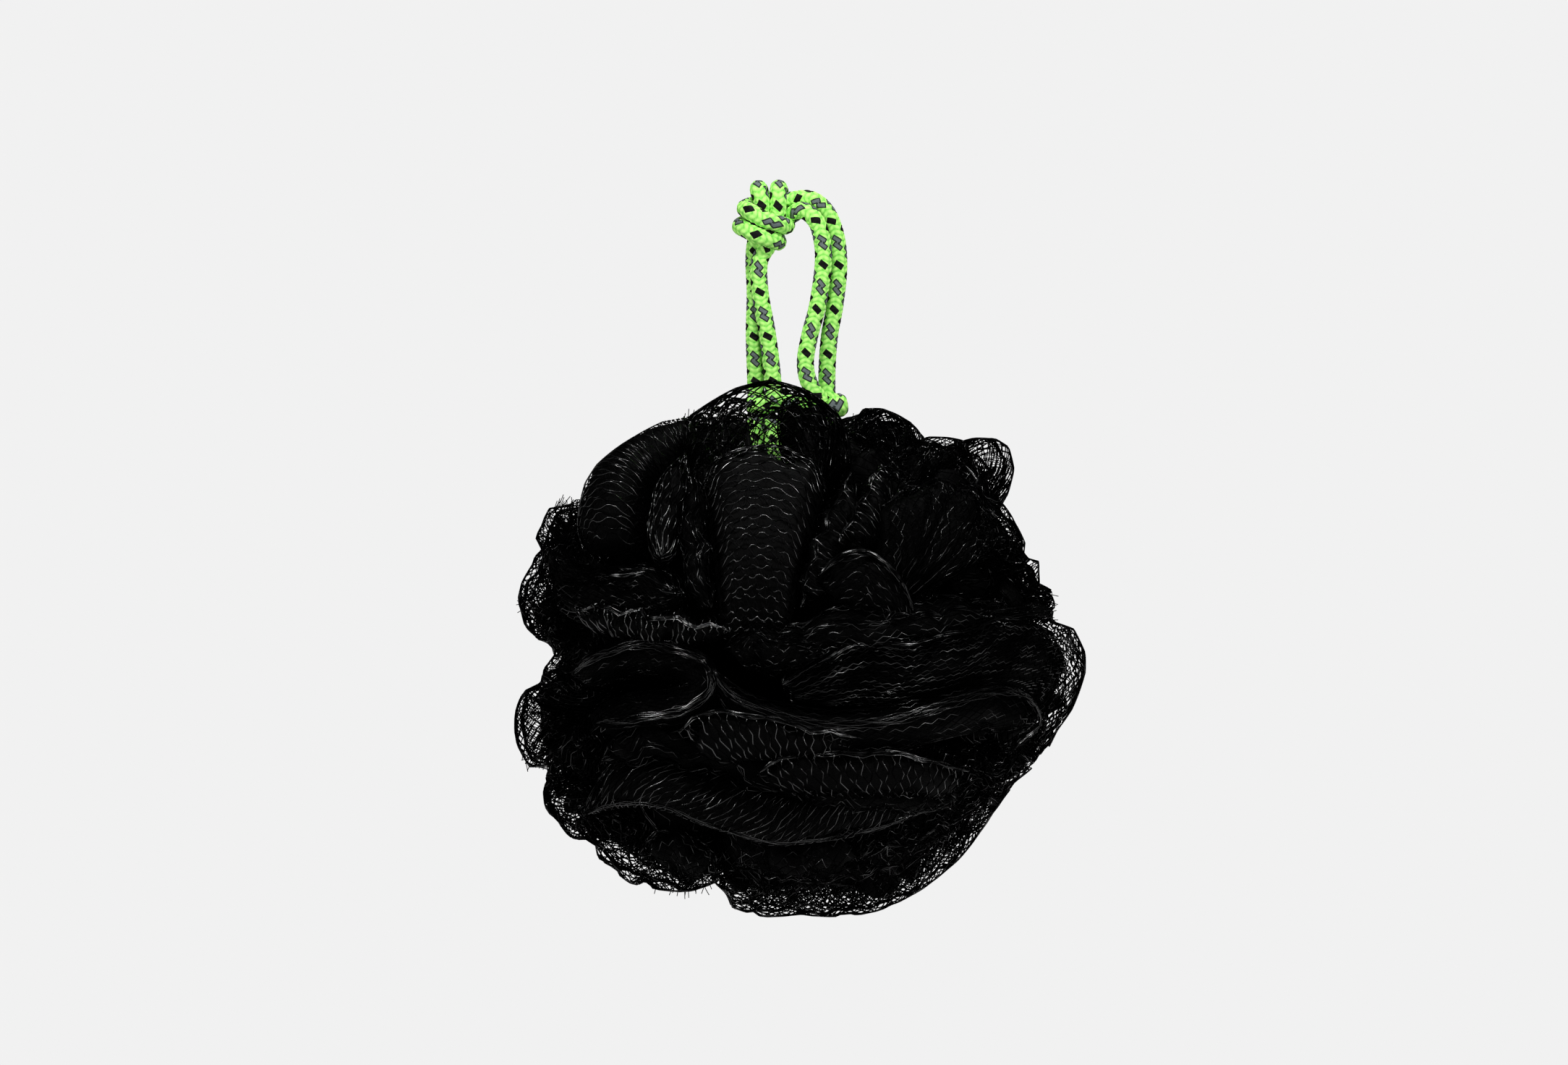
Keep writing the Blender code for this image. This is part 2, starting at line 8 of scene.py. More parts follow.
import bmesh
import bpy
import numpy as np
from mathutils import Vector
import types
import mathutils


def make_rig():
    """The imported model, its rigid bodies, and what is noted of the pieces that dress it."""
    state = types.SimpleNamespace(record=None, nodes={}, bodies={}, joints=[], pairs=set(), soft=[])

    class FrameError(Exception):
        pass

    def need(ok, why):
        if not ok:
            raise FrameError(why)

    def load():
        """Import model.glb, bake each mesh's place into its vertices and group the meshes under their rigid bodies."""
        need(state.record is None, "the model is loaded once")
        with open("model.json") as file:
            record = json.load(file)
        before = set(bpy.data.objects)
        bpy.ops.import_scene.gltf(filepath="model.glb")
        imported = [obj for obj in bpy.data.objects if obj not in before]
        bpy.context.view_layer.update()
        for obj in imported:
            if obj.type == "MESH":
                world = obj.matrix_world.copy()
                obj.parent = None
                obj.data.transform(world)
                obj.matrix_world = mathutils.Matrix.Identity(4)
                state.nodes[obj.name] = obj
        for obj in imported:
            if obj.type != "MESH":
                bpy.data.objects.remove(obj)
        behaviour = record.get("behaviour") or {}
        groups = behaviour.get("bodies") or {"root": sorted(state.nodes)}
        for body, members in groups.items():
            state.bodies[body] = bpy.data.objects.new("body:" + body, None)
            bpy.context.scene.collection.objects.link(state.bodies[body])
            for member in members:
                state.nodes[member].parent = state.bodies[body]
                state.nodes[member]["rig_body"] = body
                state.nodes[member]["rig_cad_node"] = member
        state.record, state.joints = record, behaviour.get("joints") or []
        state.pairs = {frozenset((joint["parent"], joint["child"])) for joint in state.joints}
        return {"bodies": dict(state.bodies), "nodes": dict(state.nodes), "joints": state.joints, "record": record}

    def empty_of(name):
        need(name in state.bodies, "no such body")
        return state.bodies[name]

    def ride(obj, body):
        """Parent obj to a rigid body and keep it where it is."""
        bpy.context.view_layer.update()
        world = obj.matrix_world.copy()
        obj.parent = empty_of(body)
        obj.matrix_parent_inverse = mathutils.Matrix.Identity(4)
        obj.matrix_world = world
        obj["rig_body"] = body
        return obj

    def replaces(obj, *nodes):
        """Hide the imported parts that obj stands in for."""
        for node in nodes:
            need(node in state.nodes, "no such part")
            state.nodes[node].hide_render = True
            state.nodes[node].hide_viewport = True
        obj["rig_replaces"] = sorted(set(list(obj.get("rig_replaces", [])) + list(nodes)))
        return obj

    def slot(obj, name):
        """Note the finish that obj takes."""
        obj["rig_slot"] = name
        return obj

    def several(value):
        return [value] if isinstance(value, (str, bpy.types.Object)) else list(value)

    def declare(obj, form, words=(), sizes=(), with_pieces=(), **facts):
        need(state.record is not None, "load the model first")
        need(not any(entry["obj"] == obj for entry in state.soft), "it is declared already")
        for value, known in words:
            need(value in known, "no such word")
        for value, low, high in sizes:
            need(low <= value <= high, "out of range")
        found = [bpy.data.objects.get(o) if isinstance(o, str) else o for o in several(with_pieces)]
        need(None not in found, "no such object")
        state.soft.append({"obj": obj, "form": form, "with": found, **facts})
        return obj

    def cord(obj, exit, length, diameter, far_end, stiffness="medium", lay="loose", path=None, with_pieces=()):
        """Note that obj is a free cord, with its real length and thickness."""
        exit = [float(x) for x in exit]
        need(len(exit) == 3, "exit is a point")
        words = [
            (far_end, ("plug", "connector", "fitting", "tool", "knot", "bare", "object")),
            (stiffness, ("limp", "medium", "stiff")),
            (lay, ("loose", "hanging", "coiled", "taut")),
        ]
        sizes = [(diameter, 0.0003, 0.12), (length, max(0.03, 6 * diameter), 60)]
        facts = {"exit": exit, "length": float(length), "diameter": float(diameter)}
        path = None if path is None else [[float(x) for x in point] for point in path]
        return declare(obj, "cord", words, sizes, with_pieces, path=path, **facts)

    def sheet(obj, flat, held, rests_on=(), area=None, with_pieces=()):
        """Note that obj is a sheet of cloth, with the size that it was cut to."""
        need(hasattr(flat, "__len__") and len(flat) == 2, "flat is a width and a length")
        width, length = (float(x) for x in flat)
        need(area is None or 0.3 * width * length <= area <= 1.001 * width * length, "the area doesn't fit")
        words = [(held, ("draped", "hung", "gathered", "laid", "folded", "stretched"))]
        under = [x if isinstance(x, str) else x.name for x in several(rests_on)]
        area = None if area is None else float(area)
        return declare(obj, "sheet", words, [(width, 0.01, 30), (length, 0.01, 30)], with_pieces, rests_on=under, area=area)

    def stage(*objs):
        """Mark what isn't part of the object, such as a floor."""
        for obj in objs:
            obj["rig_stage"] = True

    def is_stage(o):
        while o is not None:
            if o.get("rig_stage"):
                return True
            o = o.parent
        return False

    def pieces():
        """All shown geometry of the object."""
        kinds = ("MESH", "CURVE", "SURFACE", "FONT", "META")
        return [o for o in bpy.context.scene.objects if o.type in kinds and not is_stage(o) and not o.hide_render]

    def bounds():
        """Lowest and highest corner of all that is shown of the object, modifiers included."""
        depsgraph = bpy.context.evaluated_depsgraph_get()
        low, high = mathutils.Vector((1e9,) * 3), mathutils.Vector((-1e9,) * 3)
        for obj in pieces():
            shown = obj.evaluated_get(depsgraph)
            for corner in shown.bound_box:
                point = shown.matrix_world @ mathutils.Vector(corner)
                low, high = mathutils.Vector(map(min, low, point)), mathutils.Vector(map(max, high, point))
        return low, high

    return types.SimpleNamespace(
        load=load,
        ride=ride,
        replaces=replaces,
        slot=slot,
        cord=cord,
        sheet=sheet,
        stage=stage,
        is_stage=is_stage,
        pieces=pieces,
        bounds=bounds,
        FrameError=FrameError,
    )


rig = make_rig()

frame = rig.load()
cad_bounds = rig.bounds()

# Photograph to space

px_per_m = 6030.0
camera_distance = 1.5
image_size = (2168, 1472)
image_mid = (image_size[0] / 2, image_size[1] / 2)
origin_px = (1105.0, 302.0)
view_x = (image_mid[0] - origin_px[0]) / px_per_m
view_z = (origin_px[1] - image_mid[1]) / px_per_m
centre = np.array((0.00033, 0.0, -0.09835))


def spot(px, py, depth):
    """The point seen at a pixel of the photograph, this many millimetres behind the loop's plane."""
    y = depth * 0.001
    scale = (camera_distance + y) / camera_distance / px_per_m
    return (view_x + (px - image_mid[0]) * scale, y, view_z - (py - image_mid[1]) * scale)


# Outline of the netting in the photograph, clockwise from the highest fold
outline_px = (
    (1018, 537), (1066, 526), (1118, 541), (1152, 566), (1176, 572), (1195, 565), (1220, 566), (1259, 584),
    (1275, 604), (1330, 608), (1375, 607), (1394, 618), (1402, 648), (1388, 698), (1417, 750), (1414, 771),
    (1435, 776), (1437, 807), (1453, 815), (1458, 839), (1451, 859), (1484, 869), (1500, 902), (1500, 929),
    (1481, 981), (1460, 1010), (1441, 1048), (1403, 1080), (1371, 1124), (1331, 1181), (1265, 1234),
    (1224, 1255), (1179, 1266), (1107, 1263), (1060, 1267), (1032, 1263), (1011, 1253), (1006, 1233),
    (989, 1219), (958, 1231), (899, 1228), (871, 1220), (827, 1185), (823, 1160), (799, 1163), (773, 1147),
    (755, 1115), (750, 1085), (764, 1055), (733, 1061), (712, 1023), (712, 993), (715, 964), (721, 956),
    (751, 945), (752, 920), (767, 907), (765, 889), (732, 882), (717, 854), (715, 833), (722, 806), (739, 776),
    (740, 747), (761, 703), (792, 698), (826, 642), (879, 603), (919, 582), (957, 573))
spokes = np.array([spot(px, py, 0) for px, py in outline_px]) - centre
spoke_angles = np.arctan2(spokes[:, 2], spokes[:, 0]) % math.tau
order = np.argsort(spoke_angles)
spoke_angles, spoke_reach = spoke_angles[order], np.hypot(spokes[:, 0], spokes[:, 2])[order]


def outline_reach(angles):
    return np.interp(angles % math.tau, spoke_angles, spoke_reach, period=math.tau)


def within(points, share):
    """Moves what would show outside the outline inwards."""
    scale = camera_distance / (camera_distance + points[..., 1])
    x = (points[..., 0] - view_x) * scale + view_x - centre[0]
    z = (points[..., 2] - view_z) * scale + view_z - centre[2]
    angle, reach = np.arctan2(z, x), np.hypot(x, z)
    limit = outline_reach(angle) * share
    factor = np.where(reach > limit, (limit + 0.12 * (reach - limit)) / np.maximum(reach, 1e-6), 1)
    moved = points.copy()
    moved[..., 0] = centre[0] + (points[..., 0] - centre[0]) * factor
    moved[..., 2] = centre[2] + (points[..., 2] - centre[2]) * factor
    return moved


# How far out the folds of the sides and the back reach: less behind the lobes that are seen through
clear_degrees = (0, 10, 17, 25, 35, 44, 52, 60, 150, 165, 187, 195, 203, 232, 245, 255, 265, 350, 360)
clear_share = (0.88, 0.88, 0.89, 0.93, 0.90, 0.87, 0.92, 0.95, 0.95, 0.92, 0.91, 0.87, 0.89, 0.88, 0.90, 0.89,
               0.93, 0.92, 0.88)


def side_share(angles):
    return np.interp(np.degrees(angles) % 360, clear_degrees, clear_share)


# Small helpers

def add_object(name, data):
    made = bpy.data.objects.new(name, data)
    bpy.context.scene.collection.objects.link(made)
    return made


def stand_for(piece, node, body, slot):
    """Puts a piece in the place of a CAD node, on its body and in its slot of finishes."""
    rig.replaces(piece, node)
    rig.ride(piece, body)
    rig.slot(piece, slot)


def new_mesh(name, points, faces, material, uv, relief=None):
    """A smooth mesh from points and arrays of faces; each array holds faces with the same number of corners."""
    mesh = bpy.data.meshes.new(name)
    mesh.vertices.add(len(points))
    mesh.vertices.foreach_set("co", np.ascontiguousarray(points, np.float32).ravel())
    corners = np.concatenate([group.ravel() for group in faces])
    sizes = np.concatenate([np.full(len(group), group.shape[1]) for group in faces])
    mesh.loops.add(len(corners))
    mesh.loops.foreach_set("vertex_index", np.ascontiguousarray(corners, np.int32))
    mesh.polygons.add(len(sizes))
    mesh.polygons.foreach_set("loop_start", np.r_[0, np.cumsum(sizes)[:-1]].astype(np.int32))
    mesh.update(calc_edges=True)
    for label, values in uv.items():
        layer = mesh.uv_layers.new(name=label)
        layer.data.foreach_set("uv", np.ascontiguousarray(values, np.float32).ravel())
    if relief is not None:
        layer = mesh.attributes.new("relief", "FLOAT", "POINT")
        layer.data.foreach_set("value", np.ascontiguousarray(relief, np.float32))
    mesh.shade_smooth()
    mesh.materials.append(material)
    return add_object(name, mesh)


def unit(vectors):
    return vectors / np.maximum(np.linalg.norm(vectors, axis=-1, keepdims=True), 1e-12)


def length_of(path):
    return float(np.linalg.norm(np.diff(path, axis=0), axis=1).sum())


def distance_along(line):
    return np.r_[0, np.cumsum(np.linalg.norm(np.diff(line, axis=0), axis=1))]


def points_at(line, gone, at):
    return np.stack([np.interp(at, gone, line[:, k]) for k in range(3)], axis=1)


def smooth_points(points, count):
    """Evenly spaced points along a smooth curve through the given ones."""
    points = np.asarray(points, float)
    if len(points) == 1:
        return np.repeat(points, count, axis=0)
    ends = np.vstack([2 * points[0] - points[1], points, 2 * points[-1] - points[-2]])
    steps = 24
    line = []
    for four in (ends[i:i + 4] for i in range(len(ends) - 3)):
        t = np.cumsum([0.0] + [math.sqrt(np.linalg.norm(q - p)) for p, q in zip(four, four[1:])])
        at = (t[1] + (t[2] - t[1]) * np.arange(steps) / steps)[:, None]

        def between(start, end, p, q):
            return (end - at) / (end - start) * p + (at - start) / (end - start) * q

        first = [between(t[k], t[k + 1], four[k], four[k + 1]) for k in range(3)]
        second = [between(t[k], t[k + 2], first[k], first[k + 1]) for k in range(2)]
        line.append(between(t[1], t[2], *second))
    line = np.vstack(line + [points[-1:]])
    gone = distance_along(line)
    return points_at(line, gone, np.linspace(0, gone[-1], count))


def ring_quads(rows, sides):
    """The faces between rows of rings with this many points each, with each face's row and side."""
    i, k = np.meshgrid(np.arange(rows - 1), np.arange(sides), indexing="ij")
    j = (k + 1) % sides
    corners = [i * sides + k, i * sides + j, (i + 1) * sides + j, (i + 1) * sides + k]
    return np.stack(corners, axis=-1).reshape(-1, 4), i, k


# Finishes

def grey(level):
    return (level, level, level, 1)


class Finish:
    """A material, with short ways to add the nodes that its pattern needs."""

    def __init__(self, name):
        self.material = bpy.data.materials.new(name)
        self.material.use_nodes = True
        self.tree = self.material.node_tree
        self.shader = self.tree.nodes["Principled BSDF"]

    def feed(self, slot, value):
        if isinstance(value, bpy.types.NodeSocket):
            self.tree.links.new(value, slot)
        else:
            slot.default_value = value

    def node(self, kind, slots=None, **settings):
        made = self.tree.nodes.new(kind)
        for key, value in settings.items():
            setattr(made, key, value)
        for slot, value in (slots or {}).items():
            self.feed(made.inputs[slot], value)
        return made

    def calc(self, operation, *values):
        return self.node("ShaderNodeMath", dict(enumerate(values)), operation=operation).outputs[0]

    def uv(self, name):
        return self.node("ShaderNodeUVMap", uv_map=name).outputs[0]

    def relief(self):
        return self.node("ShaderNodeAttribute", attribute_name="relief").outputs["Fac"]

    def noise(self, vector, scale, detail):
        slots = {"Vector": vector, "Scale": scale, "Detail": detail}
        return self.node("ShaderNodeTexNoise", slots).outputs["Fac"]

    def ramp(self, value, low, high, to_low, to_high, kind="LINEAR"):
        slots = {"Value": value, "From Min": low, "From Max": high, "To Min": to_low, "To Max": to_high}
        return self.node("ShaderNodeMapRange", slots, interpolation_type=kind).outputs[0]

    def blend(self, share, first, second):
        return self.node("ShaderNodeMix", {0: share, 6: first, 7: second}, data_type="RGBA").outputs[2]

    def bump(self, height, distance, strength=1.0):
        made = self.node("ShaderNodeBump", {"Height": height, "Distance": distance, "Strength": strength})
        self.feed(self.shader.inputs["Normal"], made.outputs[0])

    def surface(self, colour, roughness, specular):
        for slot, value in (("Base Color", colour), ("Roughness", roughness), ("Specular IOR Level", specular)):
            self.feed(self.shader.inputs[slot], value)
        return self.material


def net_finish():
    """Knitted threads: black, shining in patches, and more where a fold's relief is higher."""
    finish = Finish("netting")
    thread = finish.uv("thread")
    fibre = finish.noise(thread, 3.0, 3.0)
    shine = finish.calc("ADD", finish.noise(thread, 0.9, 1.0), finish.relief())
    return finish.surface(finish.blend(fibre, grey(0.0001), (0.0006, 0.0006, 0.0007, 1)),
                          finish.ramp(fibre, 0.0, 1.0, 0.12, 0.24),
                          finish.ramp(shine, 0.54, 0.74, 0.01, 0.88, "SMOOTHSTEP"))


def cord_finish():
    """Green plaits with four columns of marks round them: black flecks, and grey tracers with dark rims. The green is
    painted darker in the plaits' grooves and lighter on their crowns, as painted shade and painted highlight, with
    random tone from noise.
    """
    finish = Finish("braided_cord")
    calc, braid_map = finish.calc, finish.uv("braid")
    columns, column_width, side_lean, mark_pitch = 4.0, 3.14, 0.40, 10.3
    parts = finish.node("ShaderNodeSeparateXYZ", {0: braid_map}).outputs
    turned = calc("MULTIPLY", parts[0], columns)
    column = calc("FLOOR", turned)
    x = calc("MULTIPLY", calc("SUBTRACT", calc("FRACT", turned), 0.5), column_width)
    # The marks of the two side columns lie nearer the front
    to_front = calc("MULTIPLY", calc("MODULO", column, 2.0), calc("SUBTRACT", column, 2.0))
    x = calc("SUBTRACT", x, calc("MULTIPLY", to_front, side_lean))
    turns = calc("ADD", calc("DIVIDE", parts[1], mark_pitch), calc("MULTIPLY", column, 0.25))

    def bar(offset, y_at, degrees, long, wide):
        """A slanted bar in the middle of every column, in millimetres: 1 on it and 0 beside it."""
        y = calc("MULTIPLY", calc("SUBTRACT", calc("FRACT", calc("ADD", turns, offset)), 0.5), mark_pitch)
        y = calc("SUBTRACT", y, y_at)
        c, s = math.cos(math.radians(degrees)), math.sin(math.radians(degrees))
        a = calc("ADD", calc("MULTIPLY", x, c), calc("MULTIPLY", y, s))
        b = calc("SUBTRACT", calc("MULTIPLY", y, c), calc("MULTIPLY", x, s))
        return calc("MULTIPLY", calc("LESS_THAN", calc("ABSOLUTE", a), long / 2),
                    calc("LESS_THAN", calc("ABSOLUTE", b), wide / 2))

    fleck = bar(0.0, 0.0, -34, 2.25, 1.4)
    rim = calc("MAXIMUM", *[bar(0.5, y_at, -42, 2.35, 1.3) for y_at in (0.78, -0.78)])
    tracer = calc("MAXIMUM", *[bar(0.5, y_at, -42, 1.75, 0.7) for y_at in (0.78, -0.78)])
    tracer = calc("MAXIMUM", tracer, bar(0.5, 0.0, 68, 1.2, 0.26))

    # Painted shade and highlight: the plaits' height darkens the green in their grooves and lightens it on their
    # crowns, and the noise adds random tone
    level = calc("ADD", calc("MULTIPLY", finish.relief(), 0.85),
                 calc("MULTIPLY", finish.noise(braid_map, 2.2, 4.0), 0.3))
    plait_shaded_green = finish.node("ShaderNodeValToRGB", {0: level})
    for stop, position, colour in zip(plait_shaded_green.color_ramp.elements, (0.20, 0.92),
                                      ((0.095, 0.54, 0.042, 1), (0.520, 1.0, 0.235, 1))):
        stop.position, stop.color = position, colour
    colour = plait_shaded_green.outputs[0]
    for mark, tint in ((rim, (0.020, 0.026, 0.024, 1)), (tracer, (0.125, 0.150, 0.150, 1)),
                       (fleck, grey(0.002))):
        colour = finish.blend(mark, colour, tint)
    yarn = finish.node("ShaderNodeTexWave", {"Vector": braid_map, "Scale": 2.6, "Distortion": 1.2})
    finish.bump(yarn.outputs["Fac"], 0.0001, 0.25)
    return finish.surface(colour, 0.62, 0.12)


def packed_finish():
    """Layers of netting packed on each other: black, with the next layer's threads painted a little lighter than the
    gaps between them, as painted sheen on the threads and painted shade in the gaps.
    """
    finish = Finish("packed_netting")
    calc, leaf_map = finish.calc, finish.uv("thread")
    cell_length, row_pitch = 1.6, 1.35
    parts = finish.node("ShaderNodeSeparateXYZ", {0: leaf_map}).outputs
    drift = finish.noise(leaf_map, 0.16, 2.0)
    along = calc("MULTIPLY_ADD", drift, 7.0, parts[0])
    across = calc("MULTIPLY_ADD", drift, 5.0, parts[1])
    swing = calc("MULTIPLY", calc("PINGPONG", along, cell_length), 0.42)
    lines = []
    for sign in (1.0, -1.0):
        row = calc("FRACT", calc("DIVIDE", calc("ADD", across, calc("MULTIPLY", swing, sign)), row_pitch))
        lines.append(calc("ABSOLUTE", calc("SUBTRACT", row, 0.5)))
    thread = finish.ramp(calc("MINIMUM", *lines), 0.05, 0.13, 1.0, 0.0, "SMOOTHSTEP")
    finish.bump(thread, 0.0003)
    # Painted sheen and shade: the threads are a little lighter than the gaps, which stand for deeper layers in shade
    return finish.surface(finish.blend(thread, grey(0.0001), (0.0012, 0.0012, 0.0013, 1)), 0.6, 0.03)


def inner_finish():
    """The dense inner folds and the twine, which show as darkness between the outer folds. Their pleats are painted
    darker in the troughs than on the crests, as painted shade.
    """
    finish = Finish("inner_netting")
    place = finish.node("ShaderNodeTexCoord").outputs["Object"]
    slots = {"Vector": place, "Scale": 220.0, "Distortion": 6.0, "Detail": 3.0}
    pleats = finish.node("ShaderNodeTexWave", slots).outputs["Fac"]
    finish.bump(pleats, 0.0006)
    # Painted shade: the colour follows the pleats' bump, darker in the troughs and lighter on the crests
    return finish.surface(finish.blend(pleats, grey(0.0002), grey(0.001)), 0.9, 0.03)


net_black, cord_green, packed_black, inner_black = net_finish(), cord_finish(), packed_finish(), inner_finish()

# Braided cord

cord_diameter = 0.004
squeezed_diameter = 0.0039
knot_span = (5, 22)
plait_pitch_mm = 1.2
plait_columns = 8
outer_route_mm = (
    (-5.8, -2.2, -42.5), (-6.1, -2.2, -36.6), (-7.3, -2.2, -26.5), (-9.0, -2.2, -16.6),
    (-9.0, -2.3, -9.6), (-6.5, -1.6, -5.3), (-5.1, -1.75, -0.2), (-4.8, -1.8, 3.7),
    (-4.8, -0.8, 6.0), (-4.7, 1.75, 7.1), (-4.3, 4.5, 6.1), (-3.7, 5.6, 3.0), (-3.2, 4.9, 0.2),
    (-2.9, 1.6, -1.3), (-3.4, -2.4, -1.8), (-5.2, -5.1, -1.3), (-8.2, -5.5, -0.4),
    (-11.0, -4.7, 1.2), (-12.4, -1.75, 2.2), (-11.2, 1.2, 3.0), (-8.6, 1.75, 3.6),
    (-5.0, 1.7, 3.7), (-2.0, 2.0, 4.3), (2.5, 2.2, 4.6), (6.0, 2.2, 2.0), (8.3, 2.2, -3.3),
    (9.1, 2.2, -10.4), (8.1, 2.2, -20.5), (7.0, 2.2, -26.5), (6.4, 2.2, -34.6), (6.4, 2.2, -42.5))
inner_route_mm = (
    (-9.9, 2.2, -42.5), (-10.0, 2.2, -36.6), (-10.3, 2.2, -26.5), (-10.1, 2.2, -16.6),
    (-10.4, 2.2, -9.6), (-10.1, 0.3, -5.6), (-9.2, -1.6, -1.8), (-8.6, -1.8, 3.7),
    (-9.3, -0.8, 6.0), (-9.3, 1.75, 7.0), (-8.8, 4.5, 6.1), (-7.6, 5.6, 2.6), (-6.2, 5.3, -1.4),
    (-5.0, 2.6, -4.8), (-5.2, -2.3, -5.4), (-7.2, -5.1, -4.9), (-9.8, -5.4, -4.1),
    (-12.2, -4.3, -2.7), (-13.5, -1.4, -1.8), (-11.8, 1.4, -0.9), (-8.6, 1.95, 0.0),
    (-5.2, 1.9, 0.0), (-2.3, 1.0, 0.5), (0.6, -1.4, 1.9), (3.8, -2.2, -0.6), (5.3, -2.2, -5.5),
    (5.5, -2.2, -10.4), (4.1, -2.2, -20.5), (2.5, -2.2, -26.5), (1.4, -2.2, -33.6),
    (2.6, -2.5, -38.5), (5.6, -2.0, -42.5))
neck_route_mm = ((-12.3, 0, -42.5), (-8, 0, -42.6), (-2, 0, -42.5), (4, -0.3, -42.6), (8.2, -0.6, -42.9),
                 (11.4, -0.4, -42.4))


def facing_turn(tangent, normal, side):
    """How far each ring turns so that the marks face the camera on the straight runs."""
    towards = np.array((0.0, -1.0, 0.0))
    turn = np.unwrap(np.arctan2(side @ towards, normal @ towards))
    loose = np.hypot(side @ towards, normal @ towards) < 0.75
    if loose.any():
        steady = ~loose
        inside = np.flatnonzero(loose)
        steady[inside[0]:inside[-1]] = False
        turn = np.interp(np.arange(len(turn)), np.flatnonzero(steady), turn[steady])
    return turn


def braid(name, line, radii, step=0.00022, sides=44):
    """A tube of chevron plaits along a line, with its own map for the marks."""
    gone = distance_along(line)
    count = max(int(gone[-1] / step), 8)
    at = np.linspace(0, gone[-1], count)
    path = points_at(line, gone, at)
    kernel = np.ones(5) / 5
    for _ in range(3):
        padded = np.vstack([path[:1]] * 2 + [path] + [path[-1:]] * 2)
        path = np.stack([np.convolve(padded[:, k], kernel, "valid") for k in range(3)], axis=1)
    radius = np.interp(at, gone, radii)
    tangent = unit(np.gradient(path, axis=0))
    normal = np.zeros_like(path)
    first = np.array((0.0, -1.0, 0.0)) - tangent[0] * -tangent[0, 1]
    normal[0] = first / np.linalg.norm(first)
    for i in range(1, count):
        carried = normal[i - 1] - tangent[i] * (normal[i - 1] @ tangent[i])
        normal[i] = carried / np.linalg.norm(carried)
    side = np.cross(tangent, normal)
    turn = facing_turn(tangent, normal, side)
    around = np.arange(sides) / sides
    along = at * 1000
    columns = (around * plait_columns)[None, :]
    column = np.floor(columns)
    across = columns - column
    slant = np.where(column % 2 == 0, 1, -1)
    phase = along[:, None] / plait_pitch_mm + slant * (across - 0.5) * 0.62
    plait = np.abs(np.sin(math.pi * phase)) ** 0.6 * (0.45 + 0.55 * np.sin(math.pi * across) ** 0.7)
    reach = radius[:, None] * (0.93 + 0.10 * plait)
    angle = around[None, :] * math.tau + turn[:, None] - math.pi / 4
    ring = normal[:, None] * np.cos(angle)[..., None] + side[:, None] * np.sin(angle)[..., None]
    points = (path[:, None] + ring * reach[..., None]).reshape(-1, 3)
    quads, i, k = ring_quads(count, sides)
    u0, u1 = k / sides, (k + 1) / sides
    v0, v1 = along[i], along[i + 1]
    maps = np.stack([np.stack(corner, -1) for corner in ((u0, v0), (u1, v0), (u1, v1), (u0, v1))], axis=2)
    maps = maps.reshape(-1, 2)
    # The plaits' height, which shapes the tube and also paints shade into the cord's colour in the grooves
    relief = plait.ravel()
    # Closed ends: a ring drawn in to one point
    for row, flip in ((0, True), (count - 1, False)):
        first = row * sides
        rim, middle = first + np.arange(0, sides, 2), first + np.arange(1, sides, 2)
        after = first + np.arange(2, sides + 2, 2) % sides
        hubs = np.full(len(rim), len(points))
        points = np.vstack([points, path[row:row + 1]])
        relief = np.r_[relief, 0.5]
        fan = np.stack([after, middle, rim, hubs] if flip else [rim, middle, after, hubs], axis=-1)
        quads = np.vstack([quads, fan])
        maps = np.vstack([maps, np.tile(np.array([[0.5, along[row]]]), (len(fan) * 4, 1))])
    bake = maps / np.array((1.0, along[-1]))
    piece = new_mesh(name, points, [quads], cord_green, {"braid": maps, "OFBake": bake}, relief)
    return piece, path


def loop_strand(name, route_mm):
    """A strand of the loop, a little thinner where the knot squeezes it."""
    route = np.array(route_mm) * 0.001
    line = smooth_points(route, 1200)
    first, last = [int(np.argmin(np.linalg.norm(line - route[n], axis=1))) for n in knot_span]
    index = np.arange(len(line))
    ease = 60
    share = np.clip((index - first + ease) / ease, 0, 1) * np.clip((last + ease - index) / ease, 0, 1)
    return braid(name, line, cord_diameter / 2 - (cord_diameter - squeezed_diameter) / 2 * share)


for label, route in (("outer", outer_route_mm), ("inner", inner_route_mm)):
    piece, path = loop_strand("loop_strand_" + label, route)
    stand_for(piece, "cord_strand_" + label, "hanging_loop", "cord")
    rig.cord(piece, exit=path[0], length=length_of(path), diameter=cord_diameter, far_end="object",
            stiffness="medium", lay="hanging", path=[list(p) for p in path[::8]] + [list(path[-1])])

# The cord's turn at the neck, with its rounded end on the right
neck_line = smooth_points(np.array(neck_route_mm) * 0.001, 300)
neck_share = np.linspace(0, 1, 300)
neck_radii = np.interp(neck_share, (0, 0.02, 0.06, 0.72, 0.86, 1),
                       (0.0008, 0.0016, 0.0021, 0.0021, 0.0028, 0.0029))
neck_radii *= np.sqrt(np.clip(1 - (np.clip(neck_share - 0.89, 0, 1) / 0.112) ** 2, 0.02, 1))
neck, _ = braid("neck_cord", neck_line, neck_radii)
stand_for(neck, "neck_turn", "neck", "cord")

# The same cord's runs inside the netting, round the waist and back up
sling_radius = 0.0105
sling_bend = -0.060
for label, side, starts, top in (("front", -1, (-0.0059, 0.0054), -0.0454),
                                 ("back", 1, (-0.0099, 0.0064), -0.0449)):
    y = side * 0.0022
    points = [(starts[0], y, top), (starts[0] - 0.0003, y, sling_bend)]
    for angle in np.radians(np.linspace(160, 380, 15)):
        points.append((centre[0] + math.cos(angle) * sling_radius, y,
                       centre[2] + math.sin(angle) * sling_radius))
    points += [(starts[1] + 0.0003, y, sling_bend), (starts[1], y, top)]
    line = smooth_points(points, 500)
    sling, _ = braid("sling_" + label, line, np.full(500, cord_diameter / 2), step=0.0005, sides=24)
    stand_for(sling, "cord_sling_" + label, "pouf", "cord")

# Netting

